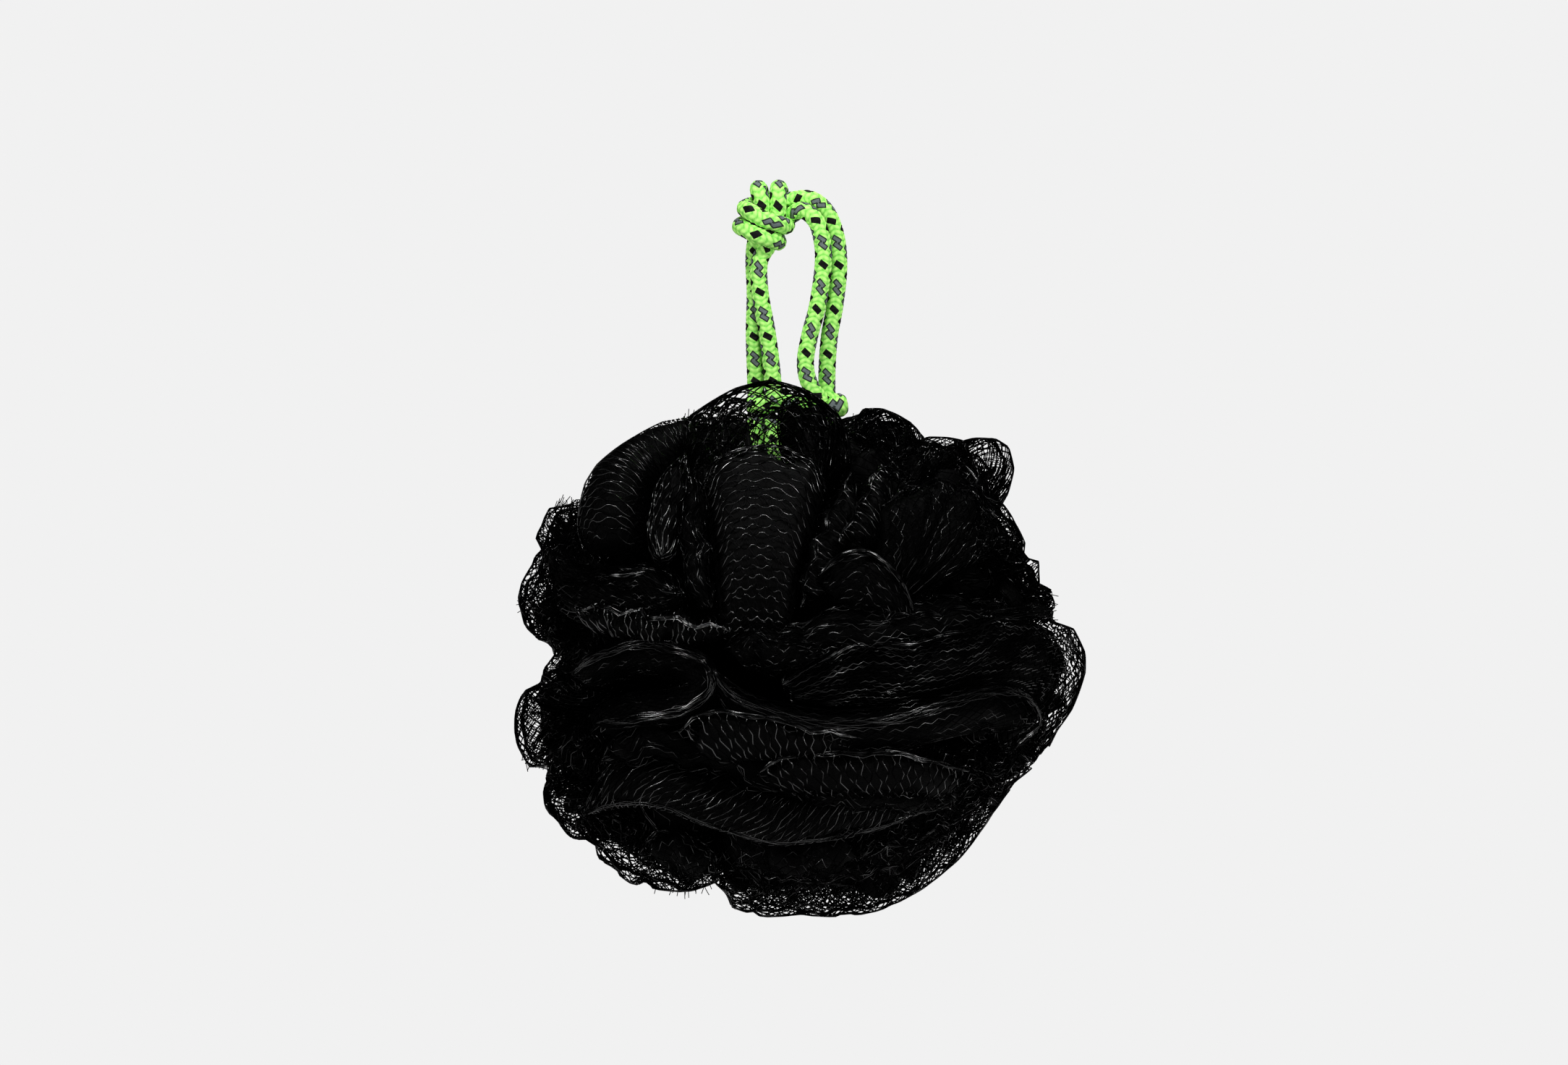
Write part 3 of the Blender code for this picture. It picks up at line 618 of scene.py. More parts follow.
thread_radius = 0.00015
line_samples = 400
bunch_reach = 0.004
# Room for what folds and twists at the neck, and for the cord's runs down to the waist
fold_limit = math.radians(52)
neck_height = -0.0425
neck_clearance = 0.0048
well_radius = 0.0142
well_floor = -0.0461
channel_half = (0.0135, 0.0050)


def neck_limit(x, y):
    """The highest place that netting may take, below what folds and twists at the neck."""
    reach = np.hypot(x, y)
    side = np.sqrt(np.maximum(reach ** 2 - well_radius ** 2, 0))
    slope = neck_height + (side * math.cos(fold_limit) - neck_clearance) / math.sin(fold_limit)
    return np.where(reach <= well_radius, well_floor, np.maximum(well_floor, slope)) - 0.0003


def keep_clear(points):
    """Netting stays out of the dip at the neck and of the slot where the cord's runs go down to the waist."""
    x, y, z = points[..., 0], points[..., 1], points[..., 2]
    wide, deep = channel_half
    in_slot = (np.abs(x) < wide) & (np.abs(y) < deep) & (z > centre[2] - wide)
    points[..., 1] = np.where(in_slot, np.where(y < 0, -deep, deep), y)
    points[..., 2] = np.minimum(z, neck_limit(x, points[..., 1]))
    return points


def keep_inside(points, shown):
    """Netting of the front stays in the outline; that of the sides and back also below the open dome."""
    if shown:
        return within(points, 1.0)
    turn = np.arctan2(points[..., 2] - centre[2], points[..., 0] - centre[0])
    moved = within(points, side_share(turn) + 0.03)
    by_cord = (moved[..., 1] < 0) & (moved[..., 0] > -0.019) & (moved[..., 0] < 0.0)
    moved[..., 2] = np.where(by_cord, np.minimum(moved[..., 2], -0.0575), moved[..., 2])
    return moved


def rib_opening(x, close):
    full = np.linspace(0, 1, 400)
    return x ** 0.5 * np.clip(1 - x, 0, 1) ** close / (full ** 0.5 * (1 - full) ** close).max()


def rib_table(length, width, close, deep):
    """Arc length down one side of a fold, with the share of depth and of half width reached there."""
    x = np.linspace(0, 1, 600) ** 2 * deep
    opening = rib_opening(x, close)
    arc = np.r_[0, np.cumsum(np.hypot(np.diff(x) * length, np.diff(opening) * width))]
    return arc, x, opening


def fold(crest, root, *, space, seed, shown, front=6.0, back=6.0, close=1.6, ends=0.5, deep=0.7, waves=4,
         ruffle=1.5, across=False, cell=3.0, row=2.0, fine=1.0, swing=0.46, bunch=0.45, skew=0.0, thick=1.0,
         rim=4, packed=None, gleam=0.0, edge=0.0):
    """One gathered fold: a crest on the surface and two sides of netting going in to the root.

    The sides open by front and back millimetres, close and end as steeply as close and ends say, go in by
    the share deep, and ripple by waves and ruffle. The knit's threads run along the crest or across it, in
    cells and rows of these millimetres, zigzag by swing, bunch at the crest and may be skewed. Rim threads
    lie together on the crest, gleam and edge make the knit and the rim shine, and packed is where the inner
    layers begin, in millimetres below the crest.

    Gives the runs of its threads, the leaf of its inner layers, the crest's millimetres and the threads'
    metres.
    """
    rng = np.random.default_rng(seed * 97 + 11)
    line, base = [smooth_points([space(*p) for p in given], line_samples) for given in (crest, root)]
    length = length_of(line)
    reach = base - line
    mean_reach = float(np.linalg.norm(reach, axis=1).mean())
    normal = unit(np.cross(unit(np.gradient(line, axis=0)), reach))
    if (normal[:, 1].mean() > 0) == (line[:, 1].mean() <= 0):
        normal = -normal
    normal = unit(np.stack([np.convolve(np.pad(normal[:, k], 20, "edge"), np.ones(41) / 41, "valid")
                            for k in range(3)], axis=1))
    sides = {sign: rib_table(mean_reach, width * 0.001, close, deep)
             for sign, width in ((1, front), (-1, back))}
    phases = rng.uniform(0, math.tau, 6)
    samples = np.arange(line_samples)

    def surface(u, x, opening, arc):
        """The fold's point this share along the crest and into the depth, opened this wide."""
        u = np.clip(u, 0, 1)
        crest_at, reach_at, normal_at = [
            np.stack([np.interp(u * (line_samples - 1), samples, table[:, k]) for k in range(3)], axis=-1)
            for table in (line, reach, normal)]

        def wave(times, phase, shift=0.0):
            return np.sin(waves * times * math.tau * u + phases[phase] + shift)

        taper = (1 - np.abs(2 * u - 1) ** 3) ** ends
        fade = np.clip(1 - x, 0, 1) ** 1.3
        ripple = (wave(1, 0) + 0.45 * wave(2.3, 1) + 0.35 * wave(1.7, 2, arc * 260)) * ruffle * 0.001 * fade
        lift = (wave(1.4, 3) * 0.35 + 0.2 * wave(3.1, 4)) * ruffle * 0.001 * fade ** 2
        return (crest_at + reach_at * x[..., None] + normal_at * (opening * taper + ripple)[..., None]
                - unit(reach_at) * lift[..., None])

    def at_arc(u, arc):
        ahead = arc >= 0
        x, opening = [np.where(ahead, np.interp(np.abs(arc), sides[1][0], sides[1][n]),
                               np.interp(np.abs(arc), sides[-1][0], sides[-1][n])) for n in (1, 2)]
        return surface(u, x, opening * np.where(ahead, front, -back) * 0.001, arc)

    def eased(arc):
        """Rows lie closer together near the crest, where the net bunches."""
        return arc - np.sign(arc) * (1 - bunch) * bunch_reach * (1 - np.exp(-np.abs(arc) / bunch_reach))

    def threads(u, arc, extra=0.0):
        u = np.clip(u, 0, 1)
        arc = np.clip(arc, -sides[-1][0][-1], sides[1][0][-1])
        points = keep_clear(keep_inside(at_arc(u, arc), shown))
        step = 0.0004
        du = at_arc(u + step / length, arc) - at_arc(u - step / length, arc)
        dv = at_arc(u, arc + step) - at_arc(u, arc - step)
        return points, unit(np.cross(du, dv)), (thick, gleam + extra)

    def zigzag(place, parts, line_number):
        """Neighbouring threads swing opposite ways, so that they meet and part as in a knit."""
        way = np.where(line_number % 2 == 0, 1, -1)
        return np.clip(1.3 * np.cos(math.pi * place / parts), -1, 1) * swing * way

    slack = (1 - bunch) * bunch_reach
    front_arc, back_arc = sides[1][0][-1] + slack, sides[-1][0][-1] + slack
    half_cell, row_pitch = cell * 0.0005, row * 0.001
    made = []
    if across:
        columns = max(int(length / half_cell), 4)
        parts = max(round(row / 1.3), 1)
        step = row_pitch / parts
        lead = math.ceil(abs(skew) * max(front_arc, back_arc) / length * columns)
        i, j = np.meshgrid(np.arange(-lead, columns + lead + 1),
                           np.arange(-int(back_arc / step), int(front_arc / step) + 1), indexing="ij")
        sway = rng.normal(0, 0.08, (len(i), 1)) + 0.12 * np.sin(j * 0.31 + rng.uniform(0, 6))
        arc = eased(j * step + rng.normal(0, 0.05, (len(i), 1)) * row_pitch)
        u = (i + zigzag(j, parts, i) + sway) / columns + skew * arc / length
        inner = (u > 0.002) & (u < 0.998)
        keep = inner.all(axis=1) if skew == 0 else inner.mean(axis=1) > 0.45
        made.append(threads(u[keep], arc[keep]))
    else:
        parts = max(round(cell * fine / 2.6), 1)
        columns = max(int(length / half_cell), 3) * parts
        lead = math.ceil(abs(skew) * max(front_arc, back_arc) / length * columns)
        j, i = np.meshgrid(np.arange(-int(back_arc / row_pitch), int(front_arc / row_pitch) + 1),
                           np.arange(-lead, columns + lead + 1), indexing="ij")
        sway = rng.normal(0, 0.07, (len(i), 1)) + 0.15 * np.sin(i * 0.23 / parts + rng.uniform(0, 6))
        arc = eased((j + zigzag(i, parts, j) + sway) * row_pitch)
        made.append(threads((i + rng.normal(0, 0.05, i.shape) * parts) / columns + skew * arc / length, arc))
    if rim:
        count = max(int(length / 0.0022), 6)
        u = np.tile(np.linspace(0, 1, count), (rim, 1))
        curl = 0.00022 * np.sin(u * length * 900 + rng.uniform(0, 6, (rim, 1)))
        arc = (np.arange(rim) - (rim - 1) / 2)[:, None] * 0.0003 + curl + rng.normal(0, 0.00004, u.shape)
        made.append(threads(u, arc, edge))

    # The leaf begins further in near the outline, by uneven steps, and ends before the root
    columns, steps = 34, 8
    u = np.linspace(0.012, 0.988, columns)[:, None]
    depth = np.abs(np.interp(u * (line_samples - 1), samples, line[:, 1]))
    shallow = np.interp(depth, (0.018, 0.042), (8.0, 2.2))
    begin = (shallow if packed is None else np.full(u.shape, packed)) * 0.001 / mean_reach
    begin = begin * np.maximum(0.35, 1.1 + 0.42 * np.sin(11 * u + phases[5]) + 0.34 * np.sin(23 * u + phases[0])
                               + 0.18 * np.sin(57 * u + phases[3]) + rng.normal(0, 0.10, u.shape))
    begin = np.minimum(begin * (1 + 1.6 * np.abs(2 * u - 1) ** 6), 0.85)
    inwards = np.linspace(0, 1, steps - 2)[None, :] ** 1.4
    x = np.hstack([begin * 0.70, begin * 0.82, begin + (0.95 - begin) * inwards])
    narrow = np.r_[0.30, 0.76, np.full(steps - 2, 1.0)] * 0.74
    opening = rib_opening(x, close) * narrow * 0.001
    halves = [surface(u, x, opening * front, x * mean_reach), surface(u, x, -opening * back, -x * mean_reach)]
    leaf = keep_clear(keep_inside(np.concatenate([halves[0], halves[1][:, ::-1]], axis=1), shown))
    run = sum(float(np.linalg.norm(np.diff(points, axis=1), axis=2).sum()) for points, _, _ in made)
    return made, leaf, length * 1000, run


def leaf_mesh(leaves):
    """Points, faces and maps of closed leaves, each a grid of rings."""
    all_points, all_quads, pattern, bake = [], [], [], []
    start = 0
    for number, (grid, length) in enumerate(leaves):
        columns, ring, _ = grid.shape
        quads = [ring_quads(columns, ring)[0]]
        k = np.arange(ring // 2 - 1)
        for row, turned in ((0, False), ((columns - 1) * ring, True)):
            cap = np.stack([row + k, row + ring - 1 - k, row + ring - 2 - k, row + k + 1], -1)
            quads.append(cap[:, ::-1] if turned else cap)
        quads = np.vstack(quads)
        points = grid.reshape(-1, 3)
        a, b, c, d = [points[quads[:, n]] - points.mean(axis=0) for n in range(4)]
        volume = (a * (np.cross(b, c) + np.cross(c, d))).sum()
        if volume < 0:
            quads = quads[:, ::-1]
        u = quads // ring / (columns - 1)
        v = quads % ring / ring
        v = np.where((v.max(axis=1, keepdims=True) > 0.7) & (v < 0.3), v + 1, v) / 1.001 / (1 + 1 / ring)
        pattern.append(np.stack([u * length, v * 60], -1).reshape(-1, 2))
        bake.append(np.stack([u * 0.98 + 0.01, (number + 0.02 + 0.96 * v) / len(leaves)], -1).reshape(-1, 2))
        all_points.append(points)
        all_quads.append(quads + start)
        start += len(points)
    return np.vstack(all_points), np.vstack(all_quads), np.vstack(pattern), np.vstack(bake)


def thread_tubes(strips, sides=3):
    """Points, faces, maps and shine of tubes along all the strips of threads."""
    all_points, all_quads, all_maps, all_caps, cap_maps, gleams = [], [], [], [], [], []
    start = number = 0
    total = sum(len(points) for points, _, _ in strips)
    for points, normals, (thick, gleam) in strips:
        rows, count, _ = points.shape
        gleams.append(np.full(rows * count * sides, gleam))
        tangent = unit(np.gradient(points, axis=1))
        across = unit(np.cross(tangent, normals))
        up = np.cross(across, tangent)
        angle = np.arange(sides) / sides * math.tau
        ring = across[:, :, None] * np.cos(angle)[:, None] + up[:, :, None] * np.sin(angle)[:, None]
        body = points[:, :, None] + ring * thread_radius * thick
        all_points.append(body.reshape(-1, 3))
        r, i, k = np.meshgrid(np.arange(rows), np.arange(count - 1), np.arange(sides), indexing="ij")
        ring_start = start + (r * count + i) * sides
        j = (k + 1) % sides
        corners = [ring_start + k, ring_start + j, ring_start + sides + j, ring_start + sides + k]
        all_quads.append(np.stack(corners, axis=-1).reshape(-1, 4))
        first = np.arange(rows)[:, None] * count * sides + start
        all_caps += [first + np.arange(sides)[::-1], first + (count - 1) * sides + np.arange(sides)]
        v0 = (number + r + k / sides) / total
        v1 = (number + r + (k + 1) / sides) / total
        u0, u1 = i / (count - 1), (i + 1) / (count - 1)
        maps = np.stack([np.stack(corner, -1) for corner in ((u0, v0), (u0, v1), (u1, v1), (u1, v0))], axis=3)
        all_maps.append(maps.reshape(-1, 2))
        caps = np.repeat(np.stack([np.zeros(rows), (number + np.arange(rows)) / total], -1), sides, axis=0)
        cap_maps += [caps, caps + np.array((1.0, 0.0))]
        start += body.size // 3
        number += rows
    return (np.vstack(all_points), [np.vstack(all_quads), np.vstack(all_caps)],
            np.vstack(all_maps + cap_maps), np.concatenate(gleams))


# What folds of one kind share

lobe = dict(back=6, close=1.0, twice=1, thick=1.25)
upper_lobe = dict(front=7, back=6, close=1.1, waves=3, packed=9, twice=1)
strokes = dict(front=4, back=4, across=True, cell=2.6, deep=0.9, skew=0.3, bunch=0.8)
scallops = dict(back=3, close=0.5, across=True, waves=3, ruffle=0.4, deep=0.95, bunch=0.9, rim=6)
right_edge = dict(front=5, back=6, row=1.1, waves=4, ruffle=1.2, ends=0.3, packed=6, twice=2)

# Folds of the front, as the photograph shows them: crest and root as (pixel, pixel, millimetres behind)
front_folds = (
    # Domed folds over the middle, with the cord behind them
    dict(crest=((930, 640, -28), (951, 585, -24), (983, 552, -21), (1034, 530, -19.5), (1078, 526, -19.5),
         (1120, 541, -19.5), (1152, 567, -21), (1172, 602, -25), (1176, 640, -30)), root=((1000, 800, -44),
         (1090, 800, -44)), front=8, back=7, close=0.8, cell=5.2, row=1.8, waves=2, ruffle=0.6, ends=0.35,
         packed=44, thick=1.3, rim=14),
    dict(crest=((1000, 650, -26), (1030, 588, -20), (1074, 562, -18), (1126, 572, -18), (1160, 612, -20)),
         root=((1080, 800, -30),), front=6, back=4, close=0.8, cell=3.4, row=1.7, waves=3, ruffle=0.8,
         packed=44),
    dict(crest=((970, 674, -43), (986, 640, -40), (1030, 621, -38), (1080, 619, -38), (1126, 640, -40),
         (1142, 676, -43)), root=((1000, 892, -57), (1084, 892, -57)), front=10, back=4, close=0.6, cell=7.0,
         row=2.2, waves=1.5, ruffle=0.3, deep=0.97, ends=0.3, bunch=0.9, swing=0.17, fine=1.6, gleam=0.15,
         rim=0, thick=1.2),
    dict(crest=((956, 668, -30), (976, 610, -20), (1006, 572, -14), (1044, 556, -15)), root=((1020, 740, -26),),
         front=4, back=3, cell=5.5, row=2.4, waves=2, packed=16, thick=1.2),
    dict(crest=((1076, 590, -16), (1088, 552, -18), (1120, 547, -18), (1150, 572, -19), (1170, 618, -20)),
         root=((1110, 720, -22),), front=3, back=3, close=0.8, cell=1.7, row=0.92, waves=2, ruffle=0.6,
         deep=0.8, packed=3, twice=1),
    # Lobes to the right of the cord
    dict(crest=((1148, 625, -20), (1178, 584, -13), (1212, 564, -10), (1248, 571, -10), (1274, 600, -12),
         (1276, 650, -18)), root=((1150, 820, -34),), front=8, **lobe, cell=1.9, row=1, waves=3, ruffle=1.0,
         packed=13),
    dict(crest=((1225, 650, -30), (1262, 612, -20), (1298, 602, -15), (1326, 609, -12), (1352, 650, -15),
         (1362, 700, -22)), root=((1180, 820, -38),), **upper_lobe, cell=2, row=0.92, ruffle=0.9),
    dict(crest=((1318, 614, 0), (1348, 604, 2), (1380, 606, 3), (1401, 632, 3), (1397, 672, 1),
         (1378, 712, -2)), root=((1230, 790, -12),), front=6, **lobe, cell=1.8, row=1.2, waves=2, ruffle=0.7,
         packed=16),
    dict(crest=((1325, 662, -30), (1368, 684, -20), (1398, 716, -12), (1415, 753, -8), (1407, 788, -10),
         (1375, 812, -22)), root=((1220, 830, -38),), **upper_lobe, cell=1.9, row=0.98, ruffle=1.0),
    dict(crest=((1222, 700, -49), (1270, 668, -45), (1320, 670, -39), (1362, 700, -32), (1378, 745, -27)),
         root=((1205, 860, -44),), front=7, back=5, close=0.9, across=True, cell=2.2, row=2.0, waves=3,
         ruffle=1.2, deep=0.9),
    dict(crest=((1360, 812, -26), (1396, 782, -14), (1422, 767, -9), (1438, 776, -7), (1436, 806, -8)),
         root=((1240, 860, -25),), front=5, back=5, cell=2.2, row=1.1, waves=2, ruffle=0.8, packed=12, twice=1),
    dict(crest=((1380, 850, -26), (1420, 822, -14), (1450, 812, -9), (1459, 832, -8), (1450, 858, -10)),
         root=((1240, 880, -25),), front=4, back=4, cell=1.7, row=0.92, waves=5, ruffle=1.2, packed=7, twice=1),
    # Curl in the middle right
    dict(crest=((1128, 800, -57), (1160, 768, -58), (1196, 760, -57), (1232, 784, -55), (1258, 826, -52),
         (1268, 862, -50)), root=((1185, 900, -42),), front=6, back=4, close=0.9, cell=6.0, row=1.2, waves=1.5,
         ruffle=0.2, deep=0.8, rim=7, swing=0.3, fine=1.4, gleam=0.05, edge=0.03),
    dict(crest=((1178, 655, -44), (1160, 690, -49), (1135, 740, -54), (1115, 800, -58), (1105, 840, -59)),
         root=((1180, 800, -36),), **strokes, row=2.8, waves=4, ruffle=0.7, gleam=0.06, swing=0.25),
    dict(crest=((1218, 640, -38), (1200, 675, -45), (1178, 715, -50), (1160, 750, -54)),
         root=((1230, 780, -36),), **strokes, row=3.0, waves=3, ruffle=0.5, gleam=0.10, swing=0.22, thick=1.2),
    # Large petal to the right
    dict(crest=((1080, 942, -58), (1150, 908, -57), (1250, 886, -51), (1350, 868, -41), (1420, 850, -30),
         (1478, 858, -18), (1502, 908, -10), (1491, 968, -9), (1454, 1034, -12)), root=((1090, 975, -46),
         (1240, 985, -36), (1330, 990, -18)), front=7, back=8, close=0.7, cell=2.6, row=1.2, waves=3,
         ruffle=0.9, ends=0.4, twice=1, packed=9, edge=0.12, thick=1.25, gleam=0.05, swing=0.3),
    # Long ridge below it, with its rounded end
    dict(crest=((984, 922, -59), (1008, 956, -60), (1058, 986, -60), (1130, 1001, -58), (1220, 996, -54),
         (1310, 973, -47), (1390, 955, -37), (1432, 972, -29), (1440, 1002, -25), (1404, 1036, -29)),
         root=((1040, 1020, -42), (1200, 1040, -38), (1340, 1010, -18)), front=5, back=5, close=1.2, cell=3.6,
         row=1.1, waves=2, ruffle=0.3, deep=0.8, ends=0.4, rim=9, bunch=0.3, edge=0.15),
    dict(crest=((1060, 890, -60), (1130, 868, -60), (1210, 858, -57), (1300, 846, -49), (1380, 838, -36)),
         root=((1150, 900, -36), (1300, 880, -24)), front=5, back=5, cell=3.2, row=1.6, waves=4, ruffle=0.7,
         deep=0.8, gleam=0.06, swing=0.3),
    # Scalloped rows
    dict(crest=((938, 1012, -58), (960, 990, -60), (1000, 984, -61), (1060, 992, -61), (1120, 1006, -60),
         (1190, 1020, -56)), root=((985, 1052, -52), (1080, 1050, -52), (1170, 1058, -48)), front=3.5,
         **scallops, cell=4.2, row=2.4, thick=1.25, swing=0.2, gleam=0.13),
    dict(crest=((1046, 1072, -54), (1070, 1050, -56), (1130, 1042, -57), (1200, 1040, -55), (1270, 1046, -51),
         (1340, 1068, -43)), root=((1090, 1100, -46), (1200, 1098, -44), (1310, 1100, -34)), front=4,
         **scallops, cell=3.8, row=2.6, thick=1.2, swing=0.3, gleam=0.1),
    # Right edge below the large petal
    dict(crest=((1240, 1120, -42), (1320, 1096, -32), (1390, 1060, -20), (1440, 1036, -10), (1456, 1022, -4)),
         root=((1180, 1030, -20), (1300, 1000, -8)), **right_edge, cell=2.3),
    dict(crest=((1190, 1186, -34), (1270, 1160, -28), (1340, 1120, -20), (1400, 1088, -10), (1432, 1060, -4)),
         root=((1130, 1060, -20), (1270, 1010, -8)), **right_edge, cell=2.2),
    # Lowest petal
    dict(crest=((1000, 1242, -22), (1020, 1258, -16), (1080, 1267, -12), (1171, 1266, -9), (1249, 1247, -8),
         (1312, 1206, -8), (1362, 1146, -7), (1400, 1094, -6)), root=((1060, 1040, -14), (1230, 1000, -8)),
         front=8, back=7, close=1.0, cell=2.2, row=1.2, waves=5, ruffle=1.2, ends=0.3, skew=0.4, packed=8.0,
         twice=1, edge=0.05, thick=1.25),
    dict(crest=((1010, 1200, -34), (1080, 1216, -32), (1170, 1216, -29), (1250, 1190, -25), (1310, 1150, -20)),
         root=((1080, 1080, -22), (1220, 1060, -16)), front=6, back=5, cell=3.0, row=1.6, waves=5, ruffle=1.3,
         deep=0.8),
    # Broad face with its long lower ridge
    dict(crest=((808, 1128, -33), (850, 1106, -40), (900, 1112, -44), (960, 1136, -46), (1020, 1154, -47),
         (1100, 1162, -46), (1200, 1150, -43), (1312, 1110, -34)), root=((900, 1040, -30), (1100, 1050, -30),
         (1230, 1050, -22)), front=9, back=4, close=0.8, across=True, cell=1.9, row=2.6, waves=2, ruffle=0.7,
         deep=0.95, skew=0.75, ends=0.3, edge=0.08, gleam=0.06),
    dict(crest=((830, 1052, -42), (900, 1036, -49), (980, 1046, -52), (1050, 1080, -51), (1110, 1110, -49)),
         root=((900, 990, -30), (1050, 1010, -34)), front=6, back=5, cell=3.4, row=1.44, waves=3, ruffle=1.0,
         deep=0.8, skew=0.5),
    # Lobes at the lower left
    dict(crest=((800, 1140, -30), (816, 1168, -24), (846, 1200, -18), (900, 1226, -15), (950, 1233, -14),
         (986, 1220, -16), (1010, 1190, -24)), root=((960, 1060, -24),), front=8, **lobe, cell=2.8, row=1.2,
         waves=4, ruffle=1.5, packed=13),
    dict(crest=((880, 1180, -30), (900, 1158, -33), (935, 1150, -35), (970, 1170, -34), (990, 1205, -28)),
         root=((950, 1220, -12),), front=4, back=4, close=0.8, cell=3.2, row=1.9, waves=2, ruffle=0.6,
         deep=0.8),
    dict(crest=((812, 1050, -30), (778, 1058, -20), (757, 1078, -14), (757, 1116, -12), (780, 1149, -14),
         (826, 1160, -20), (866, 1142, -30)), root=((960, 1040, -28),), front=8, **lobe, cell=2.5, row=1.1,
         waves=3, ruffle=1.3, packed=9),
    dict(crest=((800, 1020, -32), (770, 1036, -22), (752, 1062, -16), (768, 1092, -16), (810, 1100, -24)),
         root=((940, 1020, -30),), front=5, back=5, cell=1.9, row=0.98, waves=4, ruffle=1.3, packed=6, twice=1),
    # Left lobe
    dict(crest=((800, 948, -26), (760, 950, -16), (724, 956, -9), (714, 985, -6), (715, 1022, -6),
         (736, 1061, -9), (776, 1046, -18), (806, 1020, -28)), root=((940, 970, -20),), front=7, **lobe,
         cell=2.3, row=1.2, waves=2, ruffle=0.6, packed=12),
    dict(crest=((812, 900, -34), (780, 900, -24), (757, 916, -17), (755, 940, -17), (778, 960, -24)),
         root=((920, 930, -30),), front=4, back=4, cell=2.2, row=1.1, waves=4, ruffle=0.9),
    # Pocket in the middle left
    dict(crest=((790, 930, -38), (836, 904, -46), (890, 893, -52), (942, 896, -57), (978, 918, -60),
         (986, 946, -60), (962, 972, -59), (900, 990, -55), (820, 1003, -46)), root=((850, 950, -22),
         (890, 950, -26)), front=4, back=4, close=1.4, cell=2.8, row=0.92, waves=2, ruffle=0.5, deep=0.8,
         ends=0.3, gleam=-0.06, rim=8, bunch=0.3, edge=0.19),
    # Upper left lobes
    dict(crest=((786, 742, -26), (757, 748, -16), (736, 776, -10), (721, 814, -7), (724, 856, -8),
         (748, 886, -12), (786, 878, -24)), root=((930, 840, -22),), front=7, **lobe, cell=2.2, row=1.2,
         waves=3, ruffle=1.0, packed=8),
    dict(crest=((752, 770, -14), (741, 736, -10), (750, 706, -9), (774, 696, -11), (800, 716, -18),
         (806, 750, -28)), root=((890, 830, -22),), front=5, back=5, cell=1.7, row=0.98, waves=4, ruffle=1.2,
         packed=9),
    dict(crest=((762, 752, -26), (764, 780, -33), (790, 800, -41), (845, 792, -49), (900, 802, -55),
         (935, 820, -58)), root=((880, 880, -36), (960, 880, -44)), front=5, back=5, cell=2.7, row=0.92,
         waves=2, ruffle=0.7, deep=0.8, twice=2, edge=0.10),
    dict(crest=((796, 838, -44), (850, 842, -50), (905, 852, -55), (960, 862, -59), (1010, 872, -60)),
         root=((860, 900, -36), (970, 900, -44)), front=4, back=4, across=True, cell=3.0, row=2.0, waves=4,
         ruffle=0.9, deep=0.95, skew=0.2, gleam=0.18, thick=1.2, swing=0.2),
    # Large tube at the upper left
    dict(crest=((812, 775, -30), (800, 735, -27), (802, 700, -24), (818, 664, -21), (846, 634, -19),
         (882, 608, -18), (922, 588, -17), (962, 577, -17)), root=((905, 800, -32), (914, 760, -29),
         (924, 724, -26), (938, 690, -22), (952, 660, -19), (968, 636, -18)), front=23, back=5, close=0.5,
         across=True, cell=2.5, row=3.6, waves=1.5, ruffle=0.4, deep=0.96, ends=0.2, packed=1.0, bunch=0.9,
         swing=0.3, gleam=0.16, rim=8),
    dict(crest=((950, 626, -42), (940, 668, -48), (926, 714, -53), (912, 766, -56)), root=((906, 690, -34),
         (914, 790, -44)), front=4, back=4, close=0.7, cell=7.0, row=1.5, waves=1.5, ruffle=0.3, deep=0.9,
         rim=0, thick=1.2, swing=0.3, fine=1.5, gleam=0.13),
    dict(crest=((968, 640, -44), (962, 700, -52), (966, 770, -57), (980, 840, -60)), root=((940, 720, -36),
         (960, 850, -46)), front=3, back=3, cell=3.0, row=1.28, waves=3, ruffle=0.7, deep=0.8),
    # Middle
    dict(crest=((1000, 892, -61), (1040, 880, -62), (1090, 884, -62), (1140, 900, -61)),
         root=((1060, 940, -40),), front=5, back=5, cell=3.4, row=1.44, waves=2, ruffle=0.8, deep=0.8),
    dict(crest=((1110, 1095, -51), (1180, 1085, -50), (1260, 1090, -45), (1320, 1100, -36)),
         root=((1150, 1130, -34), (1260, 1120, -28)), front=4, back=4, cell=3.0, row=1.28, waves=3, ruffle=0.8,
         deep=0.8),
)

# Cut edges of the netting: the edge's pixels with depth, and how far its threads stand out in pixels
frayed_edges = (
    (((757, 716, -13), (771, 700, -12), (789, 700, -14), (800, 712, -16)), (4, -10), 26),
    (((1430, 812, -9), (1437, 826, -8), (1438, 842, -8), (1434, 856, -9)), (24, 3), 26),
    (((905, 1212, -14), (928, 1222, -13), (958, 1222, -13), (982, 1213, -14)), (-3, 14), 30),
    (((722, 1040, -7), (740, 1048, -8), (760, 1040, -11), (775, 1034, -14)), (-4, 18), 26),
)


def fringe(edge, out, count, seed, space):
    """Ends of cut threads along an edge."""
    rng = np.random.default_rng(seed)
    start = smooth_points([space(*p) for p in edge], count)
    end = smooth_points([space(p[0] + out[0], p[1] + out[1], p[2]) for p in edge], count)
    reach = (end - start) * rng.uniform(0.45, 1.15, (count, 1)) + rng.normal(0, 0.0004, (count, 3))
    bend = rng.normal(0, 0.0005, (count, 3))
    share = np.linspace(-0.9, 1, 6)[None, :, None]
    points = start[:, None] + reach[:, None] * share + bend[:, None] * share ** 2
    return points, np.tile(np.array((0.0, -1.0, 0.0)), points.shape[:2] + (1,)), (0.8, 0.0)


# Where the same folds go again

back_turn = math.radians(140)


